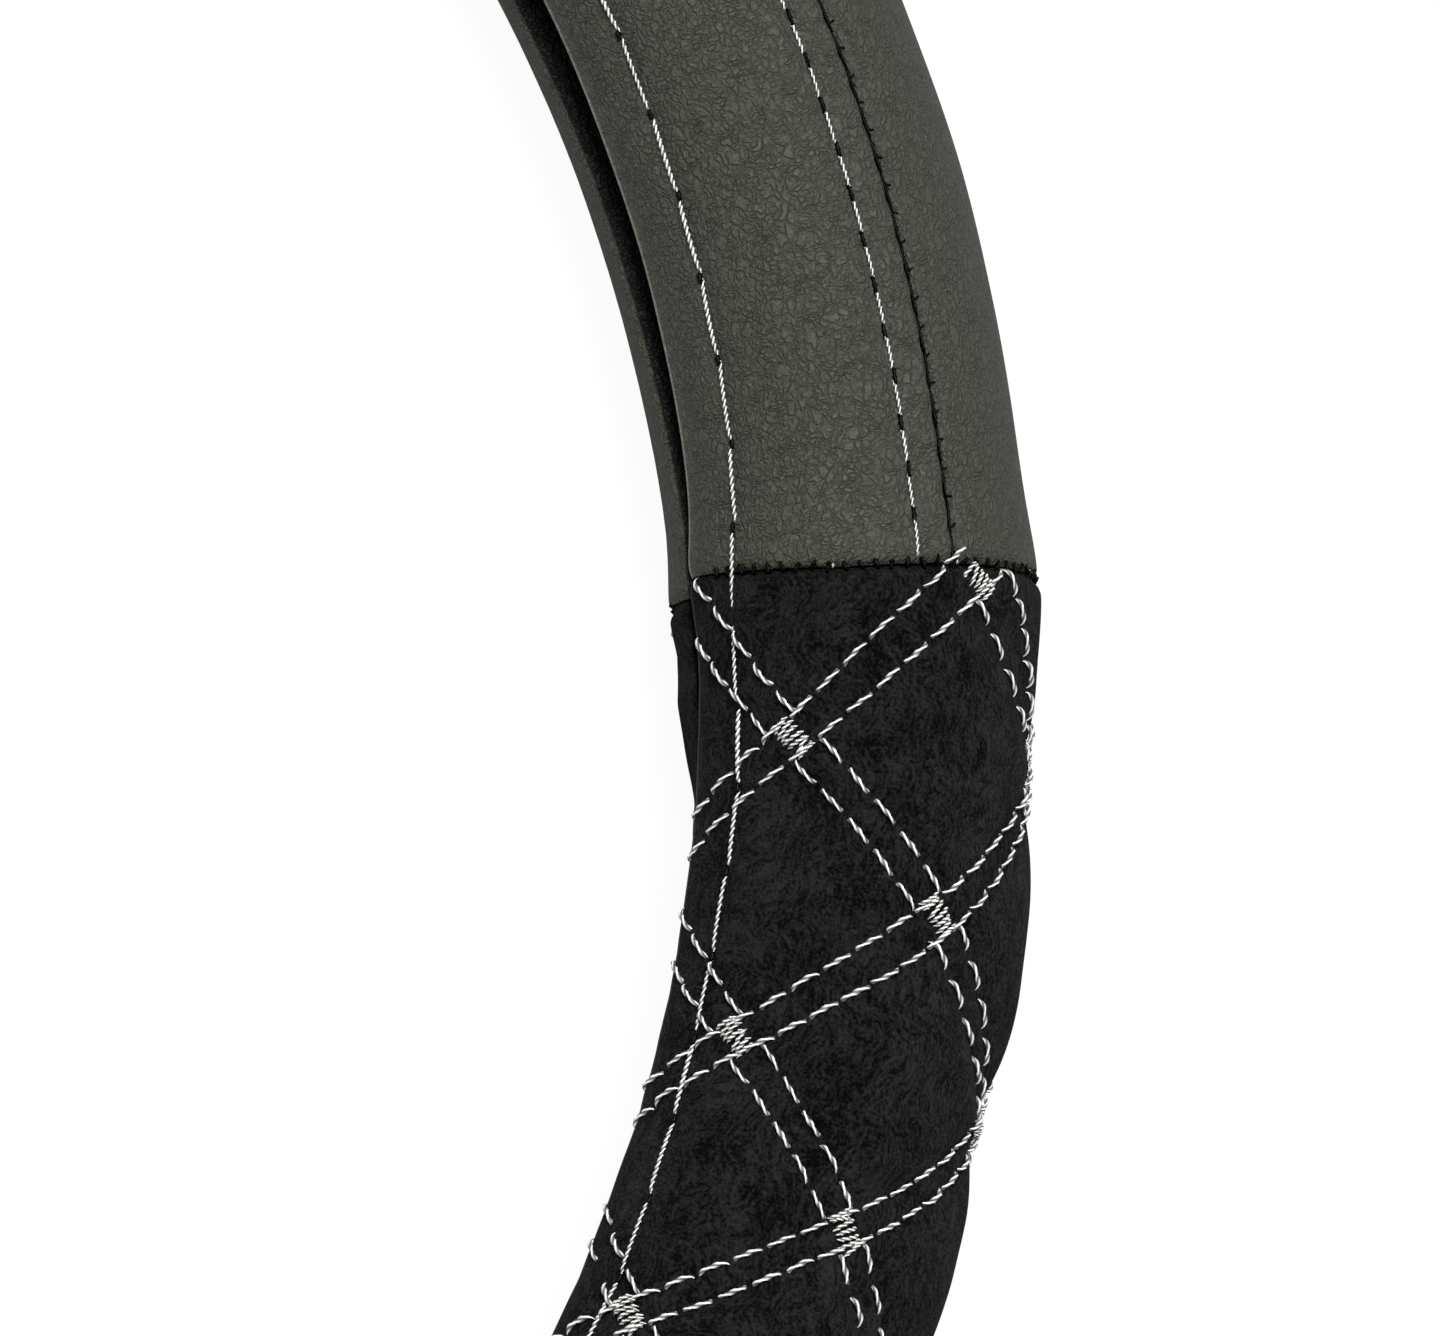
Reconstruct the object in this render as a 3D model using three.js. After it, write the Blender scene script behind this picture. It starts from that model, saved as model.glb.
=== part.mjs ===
// A slip-on cover for a car's steering wheel, lying on its back with its front face up.
// It is a C-section ring: a moulded rubber liner, in four butted quarters, grips the wheel's rim, and
// a sewn skin goes round the liner and is turned in at both lips. The skin has two quarter arcs of grey leather, top and
// bottom, and two of black quilted suede, right and left. Silver thread holds the hems and the
// leather's topstitch, and black thread the seams.
//
// Units are millimetres. +Z is the ring's axis, towards the front face. The origin is under the
// ring's centre, on the surface it lies on. An angle called phi goes round the ring from +X, and an
// angle called theta goes round the section, from the outermost point (0) over the front (90) to
// the lips (near 180 in front and -180 behind). Both are in degrees.

import * as THREE from 'three';

// The ring and its section.
const OUTER_DIAMETER = 380;
const SECTION_RADIUS = 19.5;
const SKIN_THICKNESS = 1.6;

// The liner. Its wall is thinned at each lip, where the skin's turned edge lies in a rebate.
const LINER_WALL = 2.45;
const LINER_CLEARANCE = 0.45;
const LIP_WALL = 0.8;
const REBATE_RUN_OUT = 1.6;
const LINER_BUTT_GAP = 0.3;

// The slit between the lips: widest in the middle of a leather panel, nearly shut elsewhere.
const SLIT_WIDE = 6;
const SLIT_NARROW = 1.6;
const TURN_IN_LENGTH = 8;

// Seams and stitching.
const SEAM_GAP = 0.3;
const SEAM_DIP = 0.8;
const SEAM_DIP_WIDTH = 1.8;
const FACE_SEAM_ANGLE = 82.5;
const TOPSTITCH_INSET = 4.4;
const HEM_INSET = 5.4;
const THREAD_WIDTH = 1.0;
const THREAD_HEIGHT = 0.55;
const SEAM_THREAD_WIDTH = 0.5;
const THREAD_CLEARANCE = 0.3;

// The suede's diamonds. A half diamond is this many degrees each way, in this many steps. The first
// corner lies a little way along from the upper cross seam, at the corner angle of the section.
const QUILT_DEPTH = 1.0;
const HALF_DIAMOND_PHI = 6.1;
const HALF_DIAMOND_THETA = 59;
const HALF_DIAMOND_STEPS = 3;
const FIRST_CORNER_LENGTH = 1.4;
const CORNER_ANGLE = 78.5;

// How finely the plain surfaces are divided.
const PHI_STEP = 6;
const THETA_STEP = 15;
const LINER_THETA_STEP = 30;
const TURN_STEPS = 3;

const QUARTER = 360 / 4;
const FIRST_SEAM = 45;
const RING_RADIUS = OUTER_DIAMETER / 2 - SECTION_RADIUS;
const HIDDEN_RADIUS = SECTION_RADIUS - SKIN_THICKNESS;
const LINER_RADIUS = HIDDEN_RADIUS - LINER_CLEARANCE;
const BORE_RADIUS = LINER_RADIUS - LINER_WALL;
const LIP_CENTRE_RADIUS = LINER_RADIUS - LIP_WALL / 2;

const sin = (degrees) => Math.sin(THREE.MathUtils.degToRad(degrees));
const cos = (degrees) => Math.cos(THREE.MathUtils.degToRad(degrees));
const arcAngle = (length, radius) => THREE.MathUtils.radToDeg(length / radius);

// The leather's rearmost facet is level and lies on the ground, this far from the section's centre.
const CENTRE_HEIGHT = SECTION_RADIUS * cos(THETA_STEP / 2);

const leather = { color: 0x4f4f4a, roughness: 0.55, metalness: 0 };
const suede = { color: 0x262626, roughness: 0.95, metalness: 0 };
const rubber = { color: 0x151515, roughness: 0.8, metalness: 0 };
const silverThread = { color: 0xc9c7c2, roughness: 0.5, metalness: 0 };
const blackThread = { color: 0x1c1c1c, roughness: 0.7, metalness: 0 };

/** A point given by its ring angle, its section angle and its distance from the section's centre. */
function place(phi, theta, radius) {
  const reach = RING_RADIUS + radius * cos(theta);
  return new THREE.Vector3(reach * cos(phi), reach * sin(phi), CENTRE_HEIGHT + radius * sin(theta));
}

/** Evenly spaced values from first to last, about step apart. */
function spaced(first, last, step) {
  const count = Math.max(1, Math.round(Math.abs(last - first) / step));
  return Array.from({ length: count + 1 }, (_, k) => first + ((last - first) * k) / count);
}

/** How far along its quarter a ring angle is, from the cross seam before it. */
function alongQuarter(phi) {
  return (((phi - FIRST_SEAM) % QUARTER) + QUARTER) % QUARTER;
}

/** Half the slit between the lips, at a ring angle. */
function halfSlit(phi) {
  const inLeather = Math.floor((phi - FIRST_SEAM) / QUARTER) % 2 === 0;
  const opening = inLeather ? sin((180 * alongQuarter(phi)) / QUARTER) : 0;
  return (SLIT_NARROW + (SLIT_WIDE - SLIT_NARROW) * opening) / 2;
}

/** The section angle of the centre that the skin turns in about, at a ring angle. */
function lipAngle(phi) {
  const shownTurn = SECTION_RADIUS - LIP_CENTRE_RADIUS;
  return 180 - arcAngle(halfSlit(phi) + shownTurn, LIP_CENTRE_RADIUS);
}

/** The section angle of the hem's stitches beside the front lip, at a ring angle. */
function hemAngle(phi) {
  return lipAngle(phi) - arcAngle(HEM_INSET, SECTION_RADIUS);
}

/** The front lip's section at a ring angle, as [radius, theta] pairs round it and back inside. */
function frontTurn(phi, faceRadius) {
  const reach = faceRadius - LIP_CENTRE_RADIUS;
  const centre = lipAngle(phi);
  const way = spaced(90, -90, 180 / TURN_STEPS).map((around) => [
    LIP_CENTRE_RADIUS + reach * sin(around),
    centre + arcAngle(reach * cos(around), LIP_CENTRE_RADIUS),
  ]);
  way.push([LIP_CENTRE_RADIUS - reach, centre - arcAngle(TURN_IN_LENGTH, LIP_CENTRE_RADIUS)]);
  return way;
}

/** The rear lip's section: the front one mirrored, so that theta still grows along it. */
function rearTurn(phi, faceRadius) {
  return frontTurn(phi, faceRadius).reverse().map(([radius, theta]) => [radius, -theta]);
}

/** How far along a row of points each of them is, from 0 at its start to 1 at its end. */
function shares(row) {
  const lengths = [0];
  for (let k = 1; k < row.length; k += 1) {
    lengths.push(lengths[k - 1] + row[k].distanceTo(row[k - 1]));
  }
  return lengths.map((length) => length / lengths[lengths.length - 1]);
}

/** Triangles between two rows of numbered vertices that run side by side. */
function strip(rowA, rowB, vertices) {
  const sharesA = shares(rowA.map((k) => vertices[k]));
  const sharesB = shares(rowB.map((k) => vertices[k]));
  const triangles = [];
  let a = 0;
  let b = 0;
  while (a < rowA.length - 1 || b < rowB.length - 1) {
    const nextA = a < rowA.length - 1 ? sharesA[a + 1] : 2;
    const nextB = b < rowB.length - 1 ? sharesB[b + 1] : 2;
    if (nextA <= nextB) {
      triangles.push([rowA[a], rowA[a + 1], rowB[b]]);
      a += 1;
    } else {
      triangles.push([rowA[a], rowB[b + 1], rowB[b]]);
      b += 1;
    }
  }
  return triangles;
}

const turned = ([a, b, c]) => [a, c, b];

/** A closed geometry from vertices and triangles, turned if need be so that its faces point out. */
function closedGeometry(vertices, triangles) {
  let volume = 0;
  for (const [a, b, c] of triangles) {
    volume += vertices[a].dot(vertices[b].clone().cross(vertices[c]));
  }
  const outward = volume > 0 ? triangles : triangles.map(turned);
  const geometry = new THREE.BufferGeometry().setFromPoints(vertices);
  geometry.setIndex(outward.flat());
  geometry.computeVertexNormals();
  return geometry;
}

/**
 * Triangles over a grid of [radius, theta] sections. Each cell is cut along its lower diagonal, so
 * that a groove keeps a straight bottom.
 */
function gridTriangles(sections, at) {
  const triangles = [];
  for (let i = 0; i < sections.length - 1; i += 1) {
    const here = sections[i];
    const next = sections[i + 1];
    for (let j = 0; j < here.length - 1; j += 1) {
      const [a, b, c, d] = [at(i, j), at(i + 1, j), at(i + 1, j + 1), at(i, j + 1)];
      if (here[j][0] + next[j + 1][0] <= next[j][0] + here[j + 1][0]) {
        triangles.push([a, b, c], [a, c, d]);
      } else {
        triangles.push([a, b, d], [b, c, d]);
      }
    }
  }
  return triangles;
}

/**
 * A shell between a shown and a hidden face. A face is its ring angles and a function that gives the
 * section at one of them, as [radius, theta] pairs from one edge to the other.
 */
function shell(shown, hidden) {
  const vertices = [];
  const triangles = [];
  const faces = [shown, hidden].map((face) => {
    const base = vertices.length;
    const sections = face.phis.map(face.section);
    sections.forEach((section, i) =>
      section.forEach(([radius, theta]) => vertices.push(place(face.phis[i], theta, radius))));
    const rows = sections.length;
    const columns = sections[0].length;
    const at = (i, j) => base + i * columns + j;
    return { sections, rows, columns, at };
  });
  const [top, under] = faces;
  triangles.push(...gridTriangles(top.sections, top.at));
  triangles.push(...gridTriangles(under.sections, under.at).map(turned));

  const edge = ({ rows, at }, j) => Array.from({ length: rows }, (_, i) => at(i, j));
  triangles.push(...strip(edge(top, 0), edge(under, 0), vertices).map(turned));
  triangles.push(...strip(edge(top, top.columns - 1), edge(under, under.columns - 1), vertices));
  const end = ({ columns, at }, i) => Array.from({ length: columns }, (_, j) => at(i, j));
  triangles.push(...strip(end(top, 0), end(under, 0), vertices));
  triangles.push(...strip(end(top, top.rows - 1), end(under, under.rows - 1), vertices).map(turned));
  return closedGeometry(vertices, triangles);
}

/** Ring angles of the plain surfaces within a quarter, both cross seams included. */
const quarterPhis = (start) => spaced(0, QUARTER, PHI_STEP).map((along) => start + along);

/** Ring angles all the way round. */
const ringPhis = () => [0, 1, 2, 3].flatMap((k) => quarterPhis(FIRST_SEAM + k * QUARTER).slice(0, -1));

/** The ring angles of a panel: those given, kept clear of its two ends and of the dips there. */
function panelPhis(start, phis) {
  const gap = arcAngle(SEAM_GAP / 2, RING_RADIUS);
  const dip = gap + arcAngle(SEAM_DIP_WIDTH, RING_RADIUS);
  const between = phis.filter((phi) => phi > start + dip && phi < start + QUARTER - dip);
  return [start + gap, start + dip, ...between, start + QUARTER - dip, start + QUARTER - gap];
}

/** How far the skin dips at a ring angle, towards the cross seam at either end of its quarter. */
function crossDip(phi) {
  const toSeam = Math.min(alongQuarter(phi), QUARTER - alongQuarter(phi));
  const length = THREE.MathUtils.degToRad(toSeam) * RING_RADIUS;
  return SEAM_DIP * Math.max(0, 1 - (length - SEAM_GAP / 2) / SEAM_DIP_WIDTH);
}

/** Section angles of the leather's facets from first to last, set so that the rearmost is level. */
function facetAngles(first, last) {
  const half = THETA_STEP / 2;
  const around = spaced(-180 + half, 180 - half, THETA_STEP);
  return around.filter((theta) => theta > first && theta < last);
}

/** Section angles of the liner's outside, which the skin's hidden face follows, from first to last. */
function linerAngles(first, last) {
  const reach = 1.5 * QUARTER;
  return spaced(-reach, reach, LINER_THETA_STEP).filter((theta) => theta > first && theta < last);
}

/** A quarter of the moulded ring with a C section, thinned at its lips. */
function linerQuarter(start) {
  const outside = (phi) => {
    const lip = lipAngle(phi);
    return [-lip, ...linerAngles(-lip, lip), lip].map((theta) => [LINER_RADIUS, theta]);
  };
  const inside = (phi) => {
    const lip = lipAngle(phi);
    const rebate = TURN_IN_LENGTH + 2 * LINER_CLEARANCE;
    const shoulder = lip - arcAngle(rebate, LIP_CENTRE_RADIUS);
    const body = shoulder - arcAngle(REBATE_RUN_OUT, LIP_CENTRE_RADIUS);
    const bodyParts = Math.round(1.5 * QUARTER / LINER_THETA_STEP);
    const middle = spaced(-body, body, body / bodyParts).map((theta) => [BORE_RADIUS, theta]);
    const thin = [[LINER_RADIUS - LIP_WALL, shoulder], [LINER_RADIUS - LIP_WALL, lip]];
    return [...thin.map(([radius, theta]) => [radius, -theta]).reverse(), ...middle, ...thin];
  };
  const gap = arcAngle(LINER_BUTT_GAP / 2, RING_RADIUS);
  const phis = [start + gap, ...quarterPhis(start).slice(1, -1), start + QUARTER - gap];
  return shell({ phis, section: outside }, { phis, section: inside });
}

/** Section angles from the last facet to the hem, where the skin follows the lip round the ring. */
function angleToHem(facets, phi) {
  const last = facets[facets.length - 1];
  return [(last + hemAngle(phi)) / 2, hemAngle(phi)];
}

/** The section angle nearest the front that a hem reaches anywhere round the ring. */
const nearestHem = () => hemAngle(FIRST_SEAM + QUARTER / 2);

/** The front leather panel: from the face seam to the front lip, and turned in there. */
function leatherFrontPanel(start) {
  const edge = FACE_SEAM_ANGLE + arcAngle(SEAM_GAP / 2, SECTION_RADIUS);
  const dipEnd = edge + arcAngle(SEAM_DIP_WIDTH, SECTION_RADIUS);
  const facets = facetAngles(dipEnd, nearestHem() - THETA_STEP);
  const phis = panelPhis(start, quarterPhis(start));
  const shown = (phi) => {
    const dip = crossDip(phi);
    const angles = [dipEnd, ...facets, ...angleToHem([dipEnd, ...facets], phi)];
    const face = angles.map((theta) => [SECTION_RADIUS - dip, theta]);
    return [[SECTION_RADIUS - SEAM_DIP, edge], ...face, ...frontTurn(phi, SECTION_RADIUS)];
  };
  const hidden = (phi) => {
    const angles = [edge, ...linerAngles(dipEnd, nearestHem())];
    return [...angles.map((theta) => [HIDDEN_RADIUS, theta]), ...frontTurn(phi, HIDDEN_RADIUS)];
  };
  return shell({ phis, section: shown }, { phis, section: hidden });
}

/** The outer leather panel: from the rear lip round the outside to the face seam. */
function leatherOuterPanel(start) {
  const edge = FACE_SEAM_ANGLE - arcAngle(SEAM_GAP / 2, SECTION_RADIUS);
  const dipEnd = edge - arcAngle(SEAM_DIP_WIDTH, SECTION_RADIUS);
  const facets = facetAngles(THETA_STEP - nearestHem(), dipEnd);
  const phis = panelPhis(start, quarterPhis(start));
  const shown = (phi) => {
    const dip = crossDip(phi);
    const toHem = angleToHem([-facets[0]], phi).map((theta) => -theta).reverse();
    const face = [...toHem, ...facets, dipEnd].map((theta) => [SECTION_RADIUS - dip, theta]);
    return [...rearTurn(phi, SECTION_RADIUS), ...face, [SECTION_RADIUS - SEAM_DIP, edge]];
  };
  const hidden = (phi) => {
    const angles = [...linerAngles(-nearestHem(), dipEnd), edge];
    return [...rearTurn(phi, HIDDEN_RADIUS), ...angles.map((theta) => [HIDDEN_RADIUS, theta])];
  };
  return shell({ phis, section: shown }, { phis, section: hidden });
}

/** The suede's shown radius at a point: pillows between grooves, along along from the upper seam. */
function quiltRadius(along, theta) {
  const u = (along - arcAngle(FIRST_CORNER_LENGTH, RING_RADIUS)) / HALF_DIAMOND_PHI;
  const v = (theta - CORNER_ANGLE) / HALF_DIAMOND_THETA;
  const fromLine = (value) => Math.abs(value - 2 * Math.round(value / 2));
  const rise = Math.min(fromLine(u + v), fromLine(u - v));
  return CENTRE_HEIGHT - (QUILT_DEPTH * (1 + cos(180 * rise))) / 2;
}

/** Values from first to last on the lattice's grid, which has a vertex wherever grooves cross. */
function latticeValues(corner, half, first, last) {
  const step = half / HALF_DIAMOND_STEPS;
  const from = Math.ceil((first - corner) / step);
  const to = Math.floor((last - corner) / step);
  return Array.from({ length: to - from + 1 }, (_, k) => corner + (from + k) * step);
}

/** A suede panel, from lip to lip round the outside. Its upper seam is at the start or the end. */
function suedePanel(start, upperSeamFirst) {
  const lip = lipAngle(start + QUARTER / 2) - arcAngle(SEAM_DIP_WIDTH, SECTION_RADIUS);
  const angles = latticeValues(CORNER_ANGLE, HALF_DIAMOND_THETA, -lip, lip);
  const corner = arcAngle(FIRST_CORNER_LENGTH, RING_RADIUS);
  const fromUpper = latticeValues(corner, HALF_DIAMOND_PHI, 0, QUARTER);
  const upper = upperSeamFirst ? start : start + QUARTER;
  const latticePhis = fromUpper.map((along) => (upperSeamFirst ? upper + along : upper - along));
  latticePhis.sort((a, b) => a - b);
  const shown = (phi) => {
    const limit = SECTION_RADIUS - crossDip(phi);
    const face = angles.map((theta) => [Math.min(quiltRadius(Math.abs(phi - upper), theta), limit), theta]);
    return [...rearTurn(phi, SECTION_RADIUS), ...face, ...frontTurn(phi, SECTION_RADIUS)];
  };
  const hidden = (phi) => {
    const face = linerAngles(-lip, lip).map((theta) => [HIDDEN_RADIUS, theta]);
    return [...rearTurn(phi, HIDDEN_RADIUS), ...face, ...frontTurn(phi, HIDDEN_RADIUS)];
  };
  return shell(
    { phis: panelPhis(start, latticePhis), section: shown },
    { phis: panelPhis(start, quarterPhis(start)), section: hidden },
  );
}

/** A thread along [phi, theta, radius] points on a skin: a low three-sided cord with its flat side down. */
function thread(path, width, ring = false) {
  const vertices = [];
  const triangles = [];
  const points = path.map(([phi, theta, radius]) => place(phi, theta, radius));
  const count = path.length;
  path.forEach(([phi, theta], i) => {
    const before = points[ring ? (i + count - 1) % count : Math.max(0, i - 1)];
    const after = points[ring ? (i + 1) % count : Math.min(count - 1, i + 1)];
    const along = after.clone().sub(before).normalize();
    const outward = new THREE.Vector3(cos(theta) * cos(phi), cos(theta) * sin(phi), sin(theta));
    const across = along.clone().cross(outward).normalize();
    vertices.push(points[i].clone().addScaledVector(across, -width / 2));
    vertices.push(points[i].clone().addScaledVector(across, width / 2));
    vertices.push(points[i].clone().addScaledVector(outward, THREAD_HEIGHT));
  });
  const at = (i, k) => (i % count) * 3 + (k % 3);
  for (let i = 0; i < (ring ? count : count - 1); i += 1) {
    for (let k = 0; k < 3; k += 1) {
      triangles.push([at(i, k), at(i + 1, k), at(i + 1, k + 1)], [at(i, k), at(i + 1, k + 1), at(i, k + 1)]);
    }
  }
  if (!ring) {
    triangles.push([at(0, 0), at(0, 1), at(0, 2)], [at(count - 1, 0), at(count - 1, 2), at(count - 1, 1)]);
  }
  return closedGeometry(vertices, triangles);
}

/** The hem's thread, all the way round near one lip. The side is 1 in front and -1 behind. */
function hemThread(side) {
  const radius = SECTION_RADIUS + THREAD_CLEARANCE;
  return thread(ringPhis().map((phi) => [phi, side * hemAngle(phi), radius]), THREAD_WIDTH, true);
}

/** A thread along a leather panel at one section angle, clear of the cross seams at both ends. */
function leatherThread(start, theta, radius, width) {
  const end = arcAngle(SEAM_DIP_WIDTH, RING_RADIUS);
  const between = quarterPhis(start).slice(1, -1);
  return thread([start + end, ...between, start + QUARTER - end].map((phi) => [phi, theta, radius]), width);
}

/** The visible row of stitches beside the face seam. */
function topstitchThread(start) {
  const theta = FACE_SEAM_ANGLE + arcAngle(TOPSTITCH_INSET, SECTION_RADIUS);
  return leatherThread(start, theta, SECTION_RADIUS + THREAD_CLEARANCE, THREAD_WIDTH);
}

/** The thread down in the face seam, which joins the two leather panels. */
function faceSeamThread(start) {
  const radius = SECTION_RADIUS - SEAM_DIP + THREAD_CLEARANCE;
  return leatherThread(start, FACE_SEAM_ANGLE, radius, SEAM_THREAD_WIDTH);
}

/** The thread down in a cross seam, which joins leather to suede from hem to hem. */
function crossSeamThread(phi) {
  const reach = hemAngle(phi) - arcAngle(2 * THREAD_WIDTH, SECTION_RADIUS);
  const radius = SECTION_RADIUS - SEAM_DIP + THREAD_CLEARANCE;
  return thread(spaced(-reach, reach, THETA_STEP).map((theta) => [phi, theta, radius]), SEAM_THREAD_WIDTH);
}

const cover = new THREE.Group();

function add(name, geometry, look) {
  const mesh = new THREE.Mesh(geometry, new THREE.MeshStandardMaterial(look));
  mesh.name = name;
  cover.add(mesh);
}

for (const [k, where] of ['top', 'left', 'bottom', 'right'].entries()) {
  add(`rubber_liner_${where}`, linerQuarter(FIRST_SEAM + k * QUARTER), rubber);
}

const leatherArcs = { top: FIRST_SEAM, bottom: FIRST_SEAM + 2 * QUARTER };
for (const [where, start] of Object.entries(leatherArcs)) {
  add(`leather_front_panel_${where}`, leatherFrontPanel(start), leather);
  add(`leather_outer_panel_${where}`, leatherOuterPanel(start), leather);
  add(`topstitch_thread_${where}`, topstitchThread(start), silverThread);
  add(`face_seam_thread_${where}`, faceSeamThread(start), blackThread);
}

add('suede_panel_left', suedePanel(FIRST_SEAM + QUARTER, true), suede);
add('suede_panel_right', suedePanel(FIRST_SEAM - QUARTER, false), suede);

add('hem_thread_front', hemThread(1), silverThread);
add('hem_thread_rear', hemThread(-1), silverThread);

for (let seam = 0; seam < 4; seam += 1) {
  add(`cross_seam_thread_${seam + 1}`, crossSeamThread(FIRST_SEAM + seam * QUARTER), blackThread);
}

export default cover;
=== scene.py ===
# A slip-on cover for a car's steering wheel: grey synthetic leather above and below, black quilted
# suede on both sides, sewn over a moulded rubber liner. It lies on its rear face, and the camera
# looks down on its right-hand rim, where leather and suede meet.
#
# Lengths are in millimetres unless they say otherwise, and angles in degrees. Phi goes round the
# ring from +X. Theta goes round the section: 0 outermost, 90 in front, near 180 at the front lip.

import math

import bpy
import numpy as np
from mathutils import Matrix, Vector


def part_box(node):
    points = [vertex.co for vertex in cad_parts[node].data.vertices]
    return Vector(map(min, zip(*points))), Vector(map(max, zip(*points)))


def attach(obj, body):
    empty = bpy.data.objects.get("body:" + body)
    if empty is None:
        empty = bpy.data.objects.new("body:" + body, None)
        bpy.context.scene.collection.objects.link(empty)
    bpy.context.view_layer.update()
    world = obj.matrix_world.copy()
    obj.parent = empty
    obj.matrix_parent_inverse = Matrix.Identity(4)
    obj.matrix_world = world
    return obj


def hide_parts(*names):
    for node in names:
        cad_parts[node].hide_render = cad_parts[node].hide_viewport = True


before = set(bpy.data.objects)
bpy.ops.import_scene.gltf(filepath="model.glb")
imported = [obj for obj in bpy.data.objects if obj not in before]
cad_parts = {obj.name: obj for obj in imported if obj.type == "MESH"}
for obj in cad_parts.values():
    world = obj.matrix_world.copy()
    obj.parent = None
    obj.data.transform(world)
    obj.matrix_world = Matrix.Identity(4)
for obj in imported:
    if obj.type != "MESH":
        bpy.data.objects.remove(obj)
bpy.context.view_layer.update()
scene = bpy.context.scene
scene.view_settings.view_transform = "Standard"

# Camera
# It looks at the seam between the upper leather and the right-hand suede, from in front and a
# little from inside the ring, with a long lens, so that the rim runs down the picture.
MM = 0.001
IMAGE_WIDTH_PX, IMAGE_HEIGHT_PX = 1440, 1336
RING_RADIUS = 170.5
SECTION_RADIUS = 19.5
SEAM_PHI = 45.0
LOOK_FROM_INSIDE = 26.0
LOOK_FROM_BELOW = 7.73
CAMERA_ROLL = -3.97
CAMERA_DISTANCE = 1501.0
PIXELS_PER_MM = 9.16
SEAM_X_PX, SEAM_Y_PX = 853.9, 592.2
SENSOR_WIDTH = 36.0

liner_low, liner_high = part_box("rubber_liner_top")
CENTRE_HEIGHT = (liner_low[2] + liner_high[2]) / 2 / MM


def camera_axes():
    """Right, up and back, with the ring's radius at the seam along X and its tangent along Y."""
    aside, below = math.radians(LOOK_FROM_INSIDE), math.radians(LOOK_FROM_BELOW)
    back = Vector((-math.sin(aside) * math.cos(below), -math.sin(below), math.cos(aside) * math.cos(below)))
    level_up = Vector((0, 1, 0))
    level_up = (level_up - back * level_up.dot(back)).normalized()
    level_right = level_up.cross(back)
    roll = math.radians(CAMERA_ROLL)
    right = level_right * math.cos(roll) + level_up * math.sin(roll)
    up = level_up * math.cos(roll) - level_right * math.sin(roll)
    return right, up, back


def add_camera():
    """A camera turned as the photograph's, aimed so that the seam lies at its place in the picture."""
    right, up, back = camera_axes()
    aim = Vector((RING_RADIUS, 0, 0))
    aim -= right * (SEAM_X_PX - IMAGE_WIDTH_PX / 2) / PIXELS_PER_MM
    aim += up * (SEAM_Y_PX - IMAGE_HEIGHT_PX / 2) / PIXELS_PER_MM
    place = (aim + back * CAMERA_DISTANCE) * MM
    local = Matrix((right, up, back)).transposed().to_4x4()
    local.translation = place
    data = bpy.data.cameras.new("camera")
    data.sensor_width = SENSOR_WIDTH
    data.lens = PIXELS_PER_MM * CAMERA_DISTANCE / IMAGE_WIDTH_PX * SENSOR_WIDTH
    data.clip_end = 10.0
    camera = bpy.data.objects.new("camera", data)
    turn = Matrix.Rotation(math.radians(SEAM_PHI), 4, "Z")
    rise = Matrix.Translation((0, 0, CENTRE_HEIGHT * MM))
    camera.matrix_world = rise @ turn @ local
    scene.collection.objects.link(camera)
    scene.camera = camera


add_camera()

# Rubber liner
# One moulded ring of black rubber with a C section, which grips the wheel's rim. Its thin lips
# carry the skin's turned edges, and only its dark inside shows, through the slit.
BORE_RADIUS = 15.0
LINER_RADIUS = 17.45
LINER_WALL_POINTS, LINER_BORE_POINTS = 41, 33
LIP_WALL = 0.8
LIP_CENTRE_RADIUS = LINER_RADIUS - LIP_WALL / 2
LIP_REBATE = 8.9
REBATE_RUN_OUT = 1.6
SLIT_WIDE = 6.0
SLIT_NARROW = 1.6
LIPS_MEET_GAP = 0.15
LIPS_PART_WITHIN = 11.0
SLACK_DEPTH = 2.2
SLACK_FROM = 12.0
SLACK_THETA, SLACK_FULL_THETA = 60.0, 120.0
FRONT_STRAY = 1.4
REAR_STRAY = 0.9
STRAY_THETA, STRAY_FULL_THETA = 120.0, 170.0
STRAY_SPREAD = 9.0
QUARTER = 90.0
DEGREE = math.radians(RING_RADIUS)
ARC = math.radians(SECTION_RADIUS)
LINER_STEP = 1.5
BLOOM_SIZE = 2.5
MOULD_GRAIN = 0.4
MOULD_GRAIN_DEPTH = 0.1


def arc_angle(length, radius):
    """The angle in degrees that a length takes up on a circle."""
    return np.degrees(length / radius)


def ramp(value, start, end):
    """0 up to the start, 1 from the end on, and rising evenly in between."""
    return np.clip((value - start) / (end - start), 0, 1)


def along_from_seam(phi):
    """Millimetres round the ring from the cross seam before, and to the nearer of the two."""
    since = np.mod(np.asarray(phi, float) - SEAM_PHI, QUARTER) * DEGREE
    return since, np.minimum(since, QUARTER * DEGREE - since)


def in_leather(phi):
    """Whether a ring angle lies in a leather arc."""
    return np.mod(np.asarray(phi, float) - SEAM_PHI, 2 * QUARTER) < QUARTER


def half_slit(phi):
    """Half the slit between the lips. They meet in the suede, and part towards a leather arc's middle."""
    since, to_cross = along_from_seam(phi)
    wide = SLIT_NARROW + (SLIT_WIDE - SLIT_NARROW) * np.sin(np.pi * since / (QUARTER * DEGREE))
    parting = 1 - np.exp(-((to_cross / LIPS_PART_WITHIN) ** 2))
    return np.where(in_leather(phi), LIPS_MEET_GAP + (wide / 2 - LIPS_MEET_GAP) * parting, LIPS_MEET_GAP)


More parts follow.
